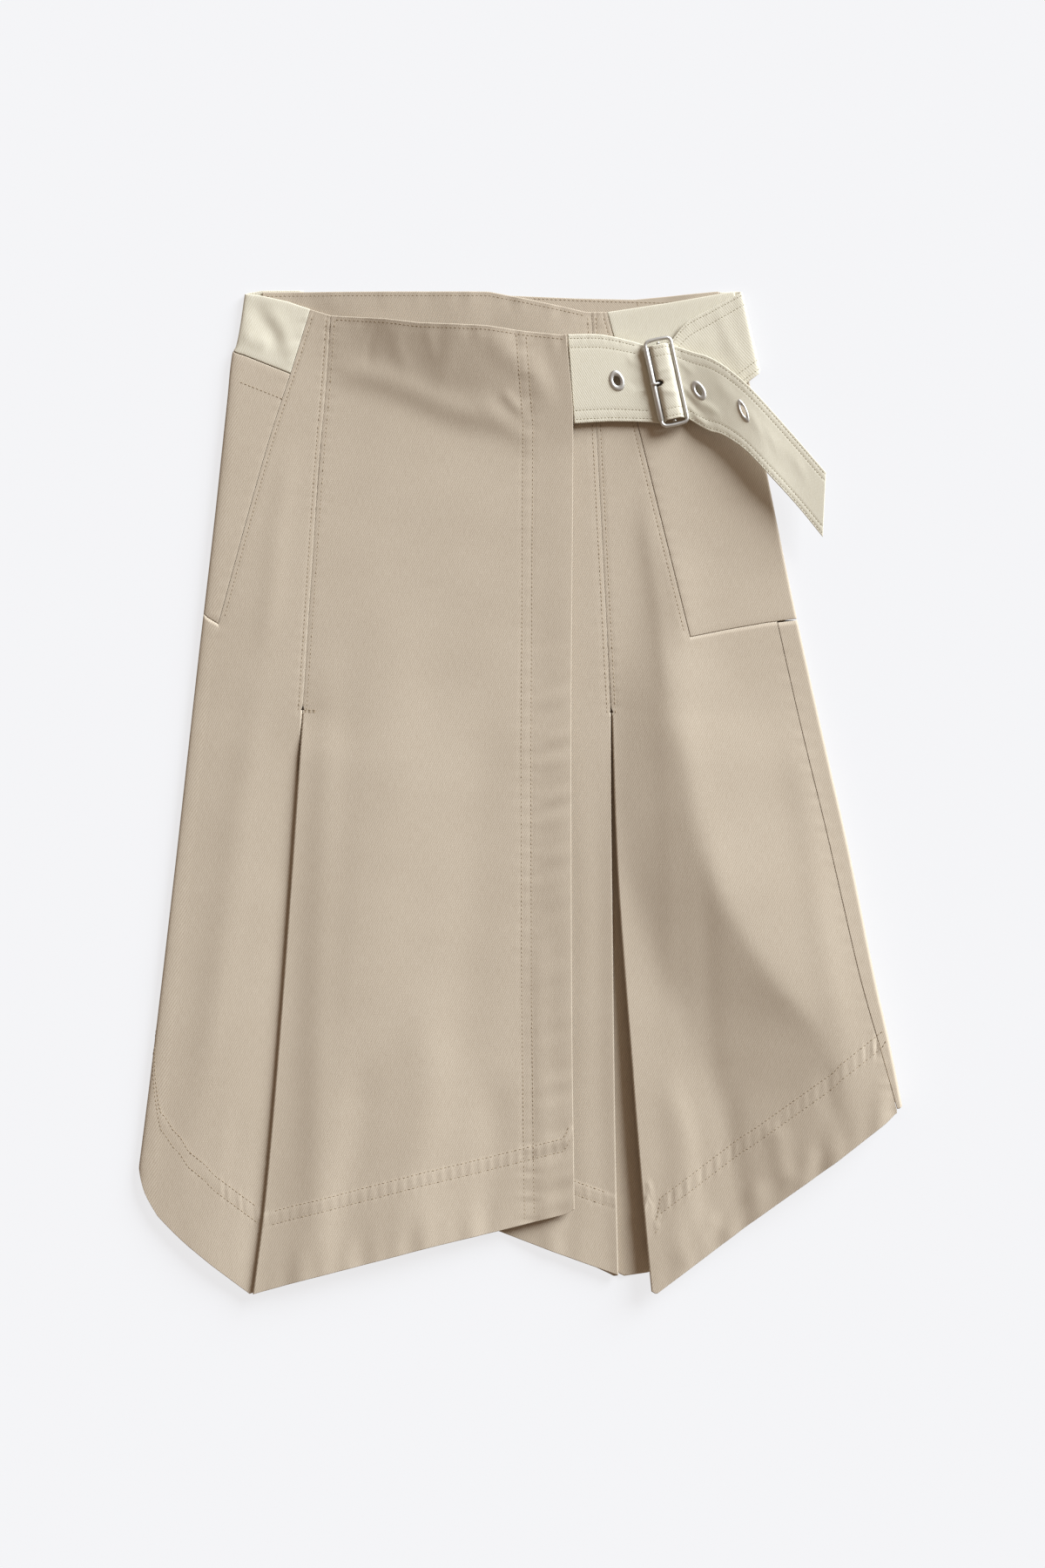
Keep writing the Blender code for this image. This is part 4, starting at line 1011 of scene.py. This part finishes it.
# Creases of the bands: (along, across from the top of one end, the same of the other, half width, height)
BELT_CREASES = (
    (93, 37, 118, 47, 4, 0.4), (92, 44, 110, 55, 4, -0.25), (92, 52, 106, 62, 3.4, 0.3),
    (91, 12, 104, 18, 4, 0.25),
    (62, 20, 48, 16, 4, 0.35), (62, 34, 46, 36, 4, -0.3), (72, 24, 84, 21, 2.6, 0.4),
    (72, 40, 84, 44, 2.8, 0.45),
    (73, 33, 84, 33, 2.4, -0.35), (126, 20, 166, 30, 9, 0.3), (176, 30, 214, 22, 10, 0.3),
)
STRAP_CREASES = ((40, 12, 70, 20, 6, 0.35), (44, 40, 78, 34, 8, -0.3), (80, 8, 92, 52, 5, 0.3))


def make_band(name, rows, table, stitches, holes, folds, seed):
    """A band as a wall over its surface, with an oval hole for each (distance, share, two half sizes)."""
    length = table[0][-1]
    along = np.concatenate([[0, 0.5], np.linspace(1, length - 1, int(length / 1.25)), [length - 0.5, length]])
    share = np.concatenate([[0, 0.006], np.linspace(0.015, 0.985, 62), [0.994, 1]])
    a, s = np.meshgrid(along, share)
    points = band_surface(rows, table, a, s, band_relief(a, s, stitches, seed, folds))
    middle_a, middle_s = (a[:-1, :-1] + a[1:, 1:]) / 2, (s[:-1, :-1] + s[1:, 1:]) / 2
    keep = np.ones(middle_a.shape, bool)
    for centre, level, reach, half in holes:
        keep &= ((middle_a - centre) / reach) ** 2 + ((middle_s - level) * BELT_WIDTH / half) ** 2 > 1
    return wall(name, points, (a, s * BELT_WIDTH), BAND, keep)


def make_belt():
    """The belt's band, with a hole for each eyelet and one for the prong."""
    holes = [(along, share, 4.3, 5.6) for along, share in BELT_EYELETS]
    prong = np.interp(5, BELT_TABLE[1], BELT_TABLE[0])
    holes.append((prong, 0.5, 4.4, 2.6))
    return make_band("belt_cloth", BELT_ROWS, BELT_TABLE, BELT_STITCHES, holes, BELT_CREASES, 0.3)


def make_strap():
    """The strap's band, with one slot where it loops round the bar."""
    loop = np.interp(6, STRAP_TABLE[1], STRAP_TABLE[0])
    reach = (np.interp(10, STRAP_TABLE[1], STRAP_TABLE[0]) - np.interp(2, STRAP_TABLE[1], STRAP_TABLE[0])) / 2
    return make_band("hip_strap_cloth", STRAP_ROWS, STRAP_TABLE, STRAP_STITCHES, [(loop, 0.5, reach, 3.0)],
                     STRAP_CREASES, 1.7)


# ---- Buckle and eyelets --------------------


def rings(name, loops, closed=True):
    """A closed surface through loops of points. Where it isn't a ring, each end is drawn in and lidded."""
    if not closed:
        ends = loops[[0, -1]].mean(axis=1, keepdims=True)
        caps = [ends[k] + (loops[-k] - ends[k]) * 0.02 for k in (0, 1)]
        loops = np.concatenate([caps[:1], loops, caps[1:]])
    count, sides = loops.shape[:2]
    index = np.arange(count * sides).reshape(count, sides)
    index = np.concatenate([index, index[:1]]) if closed else index
    around = np.roll(index, -1, axis=1)
    faces = np.stack([index[:-1], around[:-1], around[1:], index[1:]], axis=-1).reshape(-1, 4)
    if not closed:
        strip = np.arange(sides // 2 - 1)
        lid = np.stack([strip, strip + 1, sides - 2 - strip, sides - 1 - strip], axis=1)
        faces = np.concatenate([faces, lid[:, ::-1], lid + (count - 1) * sides])
    return made(name, loops.reshape(-1, 3), faces)


def tube(name, path, radius, sides=24, closed=False):
    """A round rod: a circle at each point of the path, square to the way it runs."""
    path = np.asarray(path, float)
    ahead = np.roll(path, -1, axis=0) - np.roll(path, 1, axis=0) if closed else np.gradient(path, axis=0)
    ahead /= np.linalg.norm(ahead, axis=1, keepdims=True)
    side = np.cross(ahead, np.cross(ahead[0], ahead[len(ahead) // 3]) + (0, 0, 1e-6))
    side /= np.linalg.norm(side, axis=1, keepdims=True)
    top = np.cross(side, ahead)
    angle = np.linspace(0, 2 * np.pi, sides, endpoint=False)[None, :, None]
    radius = np.broadcast_to(radius, len(path))[:, None, None]
    loops = path[:, None] + radius * (np.cos(angle) * side[:, None] + np.sin(angle) * top[:, None])
    return rings(name, loops, closed)


def on_frame(across, along, level):
    """Points of the buckle from its own directions."""
    across, along, level = np.broadcast_arrays(np.asarray(across, float), along, level)
    flat = BUCKLE_MIDDLE + across[..., None] * ACROSS_BUCKLE + along[..., None] * ALONG_BUCKLE
    return np.concatenate([flat, level[..., None]], axis=-1)


def make_eyelet(number, along, share):
    """An oval rim over the belt: a rounded section carried round the oval, with a barrel through the hole."""
    angle = np.linspace(0, 2 * np.pi, 64, endpoint=False)
    low = BAND / 2
    section = np.array(((0, -low - 0.3), (0.7, -low - 0.3), (0.7, low + 0.1), (2.9, low + 0.05),
                        (3.0, low + 0.3),
                        (2.6, low + 0.75), (1.9, low + 1.0), (1.1, low + 0.98), (0.4, low + 0.7),
                        (0.05, low + 0.2)))
    fine = flow(np.concatenate([section, section[:1]]), np.linspace(0, len(section), 41)[:-1])
    grow, height = fine[:, :1], fine[:, 1:]
    stretch = (EYELET_RIM[1] - EYELET_HOLE[1]) / (EYELET_RIM[0] - EYELET_HOLE[0])
    over = along + (EYELET_HOLE[0] + grow) * np.cos(angle)
    across = share - (EYELET_HOLE[1] + grow * stretch) * np.sin(angle) / BELT_WIDTH
    loops = band_surface(BELT_ROWS, BELT_TABLE, over, across, height + 0 * angle)
    return rings(f"eyelet_{number}_rim", loops[::-1])


def make_frame():
    """A rectangle of bar with rounded corners and a slight bow at its two ends."""
    half = np.array(BUCKLE_SIZE) / 2
    turn = np.radians(np.linspace(0, 90, 10))
    corners = []
    for quarter, (sx, sy) in enumerate(((1, -1), (1, 1), (-1, 1), (-1, -1))):
        angle = turn + np.radians(90 * quarter - 90)
        corners.append(np.stack([sx * (half[0] - BUCKLE_CORNER) + BUCKLE_CORNER * np.cos(angle),
                                 sy * (half[1] - BUCKLE_CORNER) + BUCKLE_CORNER * np.sin(angle)], axis=1))
    corners = np.concatenate(corners)
    ahead = np.roll(corners, -1, axis=0)
    share = np.linspace(0, 1, 4, endpoint=False)[None, :, None]
    path = (corners[:, None] * (1 - share) + ahead[:, None] * share).reshape(-1, 2)
    bow = 0.8 * (1 - (path[:, 0] / half[0]) ** 2) * np.sign(path[:, 1])
    return tube("buckle_frame_steel", on_frame(path[:, 0], path[:, 1] + bow * (np.abs(path[:,
                                                                                           1]) > half[1] - 2),
                                               BUCKLE_LEVEL), BAR, closed=True)


def make_bar():
    """The centre bar, which dips from its two ends."""
    reach = BUCKLE_SIZE[1] / 2 - BAR - SEAM
    inset = np.concatenate([np.linspace(0, 2.6, 12), np.linspace(4, reach, 12)])
    along = np.concatenate([inset - reach, reach - inset[-2::-1]])
    return tube("buckle_bar_steel", on_frame(0, along, curve(BAR_DIP, reach - np.abs(along))), BAR)


def make_roller():
    """A tube round the left bar: a rounded section carried round it."""
    half = BUCKLE_SIZE[1] / 2 - BUCKLE_CORNER - 1
    section = np.array(((BAR + 0.3, -half + 0.3), (BAR + 0.4, -half), (ROLLER - 0.25, -half),
                        (ROLLER, -half + 0.4),
                        (ROLLER, half - 0.4), (ROLLER - 0.25, half), (BAR + 0.4, half),
                        (BAR + 0.3, half - 0.3)))
    angle = np.linspace(0, 2 * np.pi, 36, endpoint=False)
    loops = on_frame(section[:, :1] * np.cos(angle) - BUCKLE_SIZE[0] / 2, section[:, 1:] + 0 * angle,
                     BUCKLE_LEVEL + section[:, :1] * np.sin(angle))
    return rings("buckle_roller_steel", loops)


def make_prong():
    """A hook round the centre bar, up through the belt and over the roller, thinner at its tip."""
    reach = BAR + SEAM + PRONG
    angle = np.radians(np.linspace(120, -130, 26))
    hook = np.stack([reach * np.cos(angle), BAR_LEVEL + reach * np.sin(angle)], axis=1)
    tip = BUCKLE_LEVEL + ROLLER + SEAM + PRONG
    shank = np.array(((-3.2, 9.7), (-5.3, 12.8), (-6.9, 15), (-8.7, tip), (-10.5, tip + 0.1),
                      (-12.5, tip - 0.2)))
    shank = flow(shank, np.linspace(0, 5, 26))
    path = np.concatenate([hook, shank])
    radius = PRONG * np.concatenate([np.ones(44), np.linspace(1, 0.55, 8)])
    return tube("buckle_prong_steel", on_frame(path[:, 0], 0, path[:, 1]), radius)


# ---- Stitching --------------------


def spaced(points, pitch):
    """Points at even distances along a line of points."""
    steps = np.linalg.norm(np.diff(points, axis=0), axis=1)
    distance = np.concatenate([[0], np.cumsum(steps)])
    places = np.arange(pitch / 2, distance[-1], pitch)
    return np.stack([np.interp(places, distance, points[:, k]) for k in range(points.shape[1])], axis=1)


STITCH_RING = np.radians((0, 60, 120, 180, 240, 300))


def stitches(name, lines, pitch=3.3, width=0.62):
    """Threads along lines of surface points: each stitch is a spindle of five rings of six, half sunk."""
    middles, aheads = [], []
    for points in lines:
        places = spaced(points, pitch)
        if len(places) < 3:
            continue
        ahead = np.gradient(places, axis=0)
        middles.append(places)
        aheads.append(ahead / np.linalg.norm(ahead, axis=1, keepdims=True))
    middle, ahead = np.concatenate(middles), np.concatenate(aheads)
    side = np.cross(ahead, (0, 0, 1))
    side /= np.linalg.norm(side, axis=1, keepdims=True)
    top = np.cross(side, ahead)
    along = np.array((-0.5, -0.38, 0, 0.38, 0.5)) * (pitch - 0.8)
    girth = np.array((0.15, 0.8, 1, 0.8, 0.15)) * width / 2
    sink = np.array((-0.3, -0.05, 0.05, -0.05, -0.3))
    ring = (girth[:, None] * np.cos(STITCH_RING))[None, :, :, None] * side[:, None, None] \
        + (0.8 * girth[:, None] * np.sin(STITCH_RING) + sink[:, None])[None, :, :, None] * top[:, None, None]
    points = middle[:, None, None] + along[None, :, None, None] * ahead[:, None, None] + ring
    count = len(middle)
    index = np.arange(count * 30).reshape(count, 5, 6)
    around = np.roll(index, -1, axis=2)
    faces = np.stack([index[:, :-1], index[:, 1:], around[:, 1:], around[:, :-1]], axis=-1).reshape(-1, 4)
    ends = np.concatenate([index[:, 0][:, [0, 1, 2, 3]], index[:, 0][:, [3, 4, 5, 0]],
                           index[:, -1][:, [3, 2, 1, 0]], index[:, -1][:, [0, 5, 4, 3]]])
    return made(name, points.reshape(-1, 3), np.concatenate([faces, ends]))


def on_cloth(place, across, up, lift=WALL / 2):
    """Points on a cloth's face: place gives its middle, and the lift is along the normal."""
    def point(a, u):
        x, z = place(a, u)
        return placed(x, u, z)
    right = point(across + 0.5, up) - point(across - 0.5, up)
    down = point(across, up - 0.5) - point(across, up + 0.5)
    normal = np.cross(down, right)
    normal /= np.linalg.norm(normal, axis=-1, keepdims=True)
    return point(across, up) + normal * lift


def seam_row(place, table, shift, top, end):
    """A row beside a seam that runs down the cloth."""
    up = np.linspace(top, end, int(abs(top - end)) + 2)
    return on_cloth(place, table(up) + shift, up)


def edge_row(place, table, rise, left, right):
    """A row along a hem or a waist, that far up from it."""
    across = np.linspace(left, right, int(abs(right - left)) + 2)
    slope = (at(table, across + 3) - at(table, across - 3)) / 6
    up = at(table, across) + rise * np.sqrt(1 + slope**2)
    return on_cloth(place, across, up)


def wrap_place(across, up):
    """Where a point of the wrap lies: across as it is, at the wrap's top."""
    return across, wrap_top(across, up)


def underlap_place(across, up):
    """Where a point of the underlap lies: across as it is, at the underlap's top."""
    return across, underlap_top(across, up)


def side_place(across, up):
    """Where a point of the side front lies, after its roll."""
    return left_cloth(across, up, side_relief)


def front_place(across, up):
    """Where a point of the right front lies, after its roll."""
    return right_cloth(across, up, front_relief)


def pocket_stitches():
    """The row that holds the left pocket's turned top."""
    def place(across, up):
        return left_cloth(across, up)
    return stitches("left_pocket_stitches", [edge_row(place, LEFT_POCKET_TOP, -20, -216, -182)])


def back_stitches():
    """The waist's row and two short seams, on the back's inside where the waist is open."""
    def place(across, up):
        return across, back_level(across, up)
    waist = np.arange(10, 158, 1.0)
    lines = [on_cloth(place, waist, at(BACK_WAIST, 170 - waist) - 2.5)]
    lines += [on_cloth(place, x + 0 * waist[:12], np.linspace(378, 368, 12)) for x in (91, 114)]
    return stitches("back_stitches", lines)


def hem_rows(place, hem, *ends):
    """The two rows that hold a hem, each between its own two ends."""
    return [edge_row(place, hem, up, *pair) for up, pair in zip((HEM, HEM_LOW_ROW), ends)]


def tack_bar(place, start, length, count, up):
    """Three short rows, 0.9 mm apart, that close the top of a pleat."""
    along = np.linspace(0, 1, count)
    return [on_cloth(place, start + length * along, up + 0 * along - drop) for drop in (0, 0.9, 1.8)]


def wrap_stitches():
    """Rows along the pleat's seam, the facing, the waist and the hem, and the pleat's tack."""
    edge = line(WRAP_EDGE)
    lines = [
        seam_row(wrap_place, bowed(LEFT_PLEAT), 3.2, 364, LEFT_TACK),
        seam_row(wrap_place, edge, -38.5, 352, -328), seam_row(wrap_place, edge, -30.9, 350, -326),
        edge_row(wrap_place, WRAP_WAIST, -3, -142, 33),
        *hem_rows(wrap_place, WRAP_HEM, (-189, 38), (-191, 38)),
    ]
    lines += tack_bar(wrap_place, -166.8, 8.5, 12, LEFT_TACK)
    return stitches("centre_front_stitches", lines)


def side_stitches():
    """Rows along the pleat's seam, the slanted seam and the hem."""
    lines = [
        seam_row(side_place, bowed(LEFT_PLEAT), -3.2, 364, LEFT_TACK),
        seam_row(side_place, left_slant, 3.4, 366, 134),
        *hem_rows(side_place, SIDE_HEM_FRONT, (-284, -203), (-288, -203)),
    ]
    return stitches("side_front_stitches", lines)


def underlap_stitches():
    """Rows along the pleat's seam, the waist and the hem."""
    lines = [
        seam_row(underlap_place, line(RIGHT_PLEAT), -3.2, 366, RIGHT_TACK),
        edge_row(underlap_place, UNDERLAP_WAIST, -3, -196, 50),
        *hem_rows(underlap_place, UNDERLAP_HEM, (41, 66), (41, 66)),
    ]
    return stitches("underlap_stitches", lines)


def front_stitches():
    """Rows along the pleat's seam, the slanted seam and the hem, and the pleat's tack."""
    lines = [
        seam_row(front_place, line(RIGHT_PLEAT), 3.2, 366, RIGHT_TACK),
        seam_row(front_place, line(RIGHT_SLANT), -3.4, 366, 122),
        *hem_rows(front_place, RIGHT_HEM, (104, 279), (104, 281)),
    ]
    lines += tack_bar(front_place, 71.5, 7, 10, RIGHT_TACK)
    return stitches("right_front_stitches", lines)


def band_stitches(name, rows, table, places, first, last, seed, folds):
    """Rows along a band, sunk into its grooves, on both of its faces' upper side."""
    lines = []
    for place in places:
        along = np.linspace(first, last, int(last - first) + 2)
        share = place / BELT_WIDTH + 0 * along
        height = BAND / 2 + band_relief(along, share, places, seed, folds)
        lines.append(band_surface(rows, table, along, share, height))
    return stitches(name, lines, 2.7, 0.6)


def belt_stitches():
    """Rows on the belt's left part, on the part inside the buckle, and on its free end."""
    ends = ((0.05, 2.2), (4.6, 8.9), (9.7, len(BELT_ROWS) - 1.05))
    return [band_stitches(f"belt_stitches_{number}", BELT_ROWS, BELT_TABLE, BELT_STITCHES,
                          *np.interp(places, BELT_TABLE[1], BELT_TABLE[0]), 0.3, BELT_CREASES)
            for number, places in enumerate(ends, 1)]


def strap_stitches():
    """The strap's rows between two places along its band."""
    start = np.interp(11, STRAP_TABLE[1], STRAP_TABLE[0])
    end = np.interp(16, STRAP_TABLE[1], STRAP_TABLE[0])
    return band_stitches("hip_strap_stitches", STRAP_ROWS, STRAP_TABLE, STRAP_STITCHES, start, end, 1.7,
                         STRAP_CREASES)


# ---- Materials --------------------


def linear(hex_colour):
    """An sRGB hex colour as linear RGBA."""
    value = np.array([int(hex_colour[k:k + 2], 16) for k in (1, 3, 5)]) / 255
    value = np.where(value <= 0.04045, value / 12.92, ((value + 0.055) / 1.055) ** 2.4)
    return (*value.tolist(), 1.0)


def add(material, kind, inputs, **settings):
    """Adds a node with its settings. An input that is another node's socket is linked, any other is set."""
    tree = material.node_tree
    node = tree.nodes.new("ShaderNode" + kind)
    for name, value in settings.items():
        setattr(node, name, value)
    for name, value in inputs.items():
        if isinstance(value, bpy.types.NodeSocket):
            tree.links.new(value, node.inputs[name])
        else:
            node.inputs[name].default_value = value
    return node


def new_material(name):
    """A material with no nodes."""
    material = bpy.data.materials.new(name)
    material.use_nodes = True
    material.node_tree.nodes.clear()
    return material


def finished(material, **inputs):
    """Joins a Principled shader with these inputs to the output."""
    shader = add(material, "BsdfPrincipled",
                 {name.replace("_", " "): value for name, value in inputs.items()})
    add(material, "OutputMaterial", {"Surface": shader.outputs["BSDF"]})
    return material


def woven(name, light, dark, rib, grain, sheen):
    """Cotton twill: steep diagonal ribs of yarn, slubs along the warp, and a faint cloudiness from washing.
    Ribs of half a millimetre are drawn three times as coarse, so that they show."""
    material = new_material(name)
    uv = add(material, "UVMap", {}, uv_map="cloth").outputs["UV"]
    turned = add(material, "Mapping", {"Vector": uv, "Rotation": (0, 0, np.radians(27))})
    ribs = add(material, "TexWave", {"Vector": turned.outputs["Vector"], "Scale": 0.314 / (rib * MM),
                                     "Distortion": 1.2, "Detail": 2.0, "Detail Scale": 2.0})
    stretched = add(material, "Mapping", {"Vector": uv, "Scale": (1 / (grain * MM), 0.14 / (grain * MM), 1)})
    slubs = add(material, "TexNoise", {"Vector": stretched.outputs["Vector"], "Scale": 1.0, "Detail": 3.0,
                                       "Roughness": 0.6})
    clouds = add(material, "TexNoise", {"Vector": uv, "Scale": 16.0, "Detail": 3.0, "Roughness": 0.55})
    fuzz = add(material, "TexNoise", {"Vector": uv, "Scale": 900.0, "Detail": 2.0, "Roughness": 0.7})
    yarn = add(material, "Mix", {"Factor": 0.5, "A": ribs.outputs["Fac"], "B": slubs.outputs["Fac"]},
               data_type="FLOAT")
    grainy = add(material, "Mix", {"Factor": 0.35, "A": yarn.outputs["Result"], "B": fuzz.outputs["Fac"]},
                 data_type="FLOAT")
    tone = add(material, "Mix", {"Factor": 0.15, "A": grainy.outputs["Result"], "B": clouds.outputs["Fac"]},
               data_type="FLOAT")
    share = add(material, "MapRange", {"Value": tone.outputs["Result"], "From Min": 0.3, "From Max": 0.7})
    colour = add(material, "Mix", {"Factor": share.outputs["Result"]}, data_type="RGBA")
    colour.inputs["A"].default_value = linear(dark)
    colour.inputs["B"].default_value = linear(light)
    raised = add(material, "Bump", {"Height": grainy.outputs["Result"], "Strength": 0.35, "Distance": 0.0004})
    rough = add(material, "MapRange", {"Value": slubs.outputs["Fac"], "To Min": 0.82, "To Max": 0.95})
    return finished(material, Base_Color=colour.outputs["Result"], Roughness=rough.outputs["Result"],
                    Normal=raised.outputs["Normal"], Sheen_Weight=sheen, Sheen_Roughness=0.5,
                    Specular_IOR_Level=0.25)


def polished_steel(name, colour, roughness):
    """Nickel-plated steel: bright, with faint fine scratches from handling."""
    material = new_material(name)
    coords = add(material, "TexCoord", {}).outputs["Object"]
    stretched = add(material, "Mapping", {"Vector": coords, "Scale": (260, 1400, 900)})
    scratches = add(material, "TexNoise", {"Vector": stretched.outputs["Vector"], "Scale": 1.0,
                                           "Detail": 4.0})
    rough = add(material, "MapRange", {"Value": scratches.outputs["Fac"], "To Min": roughness,
                                       "To Max": roughness + 0.14})
    raised = add(material, "Bump", {"Height": scratches.outputs["Fac"], "Strength": 0.12, "Distance": 0.0001})
    return finished(material, Base_Color=linear(colour), Metallic=1.0, Roughness=rough.outputs["Result"],
                    Normal=raised.outputs["Normal"])


def spun_thread(name, light, dark):
    """Cotton sewing thread: a tight twist, matt, that varies a little from stitch to stitch. The colours it
    is given are darker than the thread's own, as painted shade of stitches sunk into the cloth.
    """
    material = new_material(name)
    coords = add(material, "TexCoord", {}).outputs["Object"]
    twist = add(material, "TexNoise", {"Vector": coords, "Scale": 700.0, "Detail": 2.0})
    colour = add(material, "Mix", {"Factor": twist.outputs["Fac"]}, data_type="RGBA")
    colour.inputs["A"].default_value = linear(dark)
    colour.inputs["B"].default_value = linear(light)
    raised = add(material, "Bump", {"Height": twist.outputs["Fac"], "Strength": 0.3, "Distance": 0.0002})
    return finished(material, Base_Color=colour.outputs["Result"], Roughness=0.8,
                    Normal=raised.outputs["Normal"])


def opal_acrylic(name, colour, glow, brightness):
    """Matt opal acrylic, lit evenly from below: a light table."""
    material = new_material(name)
    coords = add(material, "TexCoord", {}).outputs["Object"]
    haze = add(material, "TexNoise", {"Vector": coords, "Scale": 180.0, "Detail": 3.0})
    raised = add(material, "Bump", {"Height": haze.outputs["Fac"], "Strength": 0.02, "Distance": 0.0002})
    return finished(material, Base_Color=linear(colour), Roughness=0.95, Specular_IOR_Level=0.1,
                    Emission_Color=linear(glow), Emission_Strength=brightness,
                    Normal=raised.outputs["Normal"])


GABARDINE = woven("cotton_gabardine", "#c9bba8", "#b0a08c", 1.5, 1.1, 0.08)
CREAM = woven("cream_cotton_twill", "#e0d9c8", "#cbc2ac", 1.5, 1.1, 0.08)
STEEL = polished_steel("nickel_plated_steel", "#d2cfca", 0.44)
# Both threads are darker than their real colour, which is close to the cloth's: painted shade of the stitches
# sunk into the cloth.
THREAD_PAINTED_SHADE = spun_thread("beige_thread_painted_shade", "#ab997f", "#8e7b63")
PALE_THREAD_PAINTED_SHADE = spun_thread("cream_thread_painted_shade", "#a99e84", "#887d66")


# ---- Skirt --------------------


def fitted(piece, material, slot, *nodes):
    """Gives a piece its material and its body, and hides the nodes it replaces. slot is not used."""
    piece.data.materials.append(material)
    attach(piece, "root")
    if nodes:
        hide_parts(*nodes)
    return piece


def sew():
    """Makes every cloth, the stitches and the eyelets' rims, and fits each."""
    thread = {name: fitted(make(), THREAD_PAINTED_SHADE, "gabardine") for name, make in
              (("wrap", wrap_stitches), ("side", side_stitches), ("under", underlap_stitches),
               ("front", front_stitches), ("pocket", pocket_stitches), ("back", back_stitches))}
    rows = [fitted(piece, PALE_THREAD_PAINTED_SHADE, "cream") for piece in belt_stitches()]
    strap = fitted(strap_stitches(), PALE_THREAD_PAINTED_SHADE, "cream")
    rims = [fitted(make_eyelet(number, *row), STEEL, "steel", f"eyelet_{number}")
            for number, row in enumerate(BELT_EYELETS, 1)]
    # Rows of (piece, material, slot, node, cut's width and length, cut's area, what it lies on, pieces on it)
    cloths = (
        (make_back, GABARDINE, "gabardine", "back", (0.56, 0.70), 0.292, (),
         (thread["back"],)),
        (make_underlap, GABARDINE, "gabardine", "underlap", (0.32, 0.76), 0.193, ("back_cloth",),
         (thread["under"],)),
        (make_right_underlay, GABARDINE, "gabardine", "right_underlay", (0.07, 0.44), 0.0175,
         ("back_cloth",), ()),
        (make_right_front, GABARDINE, "gabardine", "right_front", (0.26, 0.76), 0.098,
         ("back_cloth", "right_underlay_cloth"), (thread["front"],)),
        (make_right_pocket, GABARDINE, "gabardine", "right_pocket", (0.15, 0.22), 0.022, ("back_cloth",), ()),
        (make_right_inset, CREAM, "cream", "right_inset", (0.12, 0.07), 0.0058, ("back_cloth",), ()),
        (make_left_underlay, GABARDINE, "gabardine", "left_underlay", (0.07, 0.45), 0.0146,
         ("underlap_cloth",), ()),
        (make_side_front, GABARDINE, "gabardine", "side_front", (0.22, 0.77), 0.083, ("underlap_cloth",),
         (thread["side"],)),
        (make_centre_front, GABARDINE, "gabardine", "centre_front", (0.28, 0.76), 0.161, ("underlap_cloth",),
         (thread["wrap"],)),
        (make_left_pocket, GABARDINE, "gabardine", "left_pocket", (0.13, 0.22), 0.0148, ("underlap_cloth",),
         (thread["pocket"],)),
        (make_left_inset, CREAM, "cream", "left_inset", (0.11, 0.06), 0.0042, ("underlap_cloth",), ()),
        (make_strap, CREAM, "cream", "hip_strap", (0.15, 0.07), 0.0083, ("right_inset_cloth",), (strap,)),
        (make_belt, CREAM, "cream", "belt", (0.26, 0.07), 0.012, ("centre_front_cloth", "hip_strap_cloth"),
         (*rows, *rims)),
    )
    for make, material, slot, node, flat, area, rests_on, carried in cloths:
        piece = fitted(make(), material, slot, node)


def buckle_up():
    """Makes and fits the buckle's four pieces."""
    for make, node in ((make_frame, "buckle_frame"), (make_bar, "buckle_bar"), (make_roller, "buckle_roller"),
                       (make_prong, "buckle_prong")):
        fitted(make(), STEEL, "steel", node)


def set_stage():
    """A pale light table under the skirt, a low broad light from the upper right, and an even surround."""
    side = np.linspace(-3000, 3000, 13)
    x, y = np.meshgrid(side, side[::-1])
    index = np.arange(x.size).reshape(x.shape)
    faces = np.stack([index[:-1, :-1], index[1:, :-1], index[1:, 1:], index[:-1, 1:]], axis=-1).reshape(-1, 4)
    floor = made("floor", placed(x, y, -0.3).reshape(-1, 3), faces)
    floor.data.materials.append(opal_acrylic("opal_acrylic", "#686869", "#f5f5f7", 0.833))

    sun = bpy.data.lights.new("window", "SUN")
    sun.energy = 6.5
    sun.angle = np.radians(34)
    sun.color = (0.97, 1.057, 1.135)
    key = bpy.data.objects.new("window", sun)
    key.rotation_mode = "QUATERNION"
    elevation = np.radians(23)
    towards = Vector((0.74 * np.cos(elevation), 0.67 * np.cos(elevation), np.sin(elevation)))
    key.rotation_quaternion = towards.to_track_quat("Z", "Y")
    bpy.context.scene.collection.objects.link(key)

    world = bpy.data.worlds.new("surround")
    world.use_nodes = True
    world.node_tree.nodes["Background"].inputs["Color"].default_value = (1.0, 0.778, 0.6, 1)
    world.node_tree.nodes["Background"].inputs["Strength"].default_value = 0.275
    bpy.context.scene.world = world
    bpy.context.scene.view_settings.view_transform = "Standard"

    lens = bpy.data.cameras.new("camera")
    lens.sensor_width = 36
    lens.lens = 85
    camera = bpy.data.objects.new("camera", lens)
    camera.location = (0.002, 0.006, 2.86)
    bpy.context.scene.collection.objects.link(camera)
    bpy.context.scene.camera = camera


sew()
buckle_up()
set_stage()
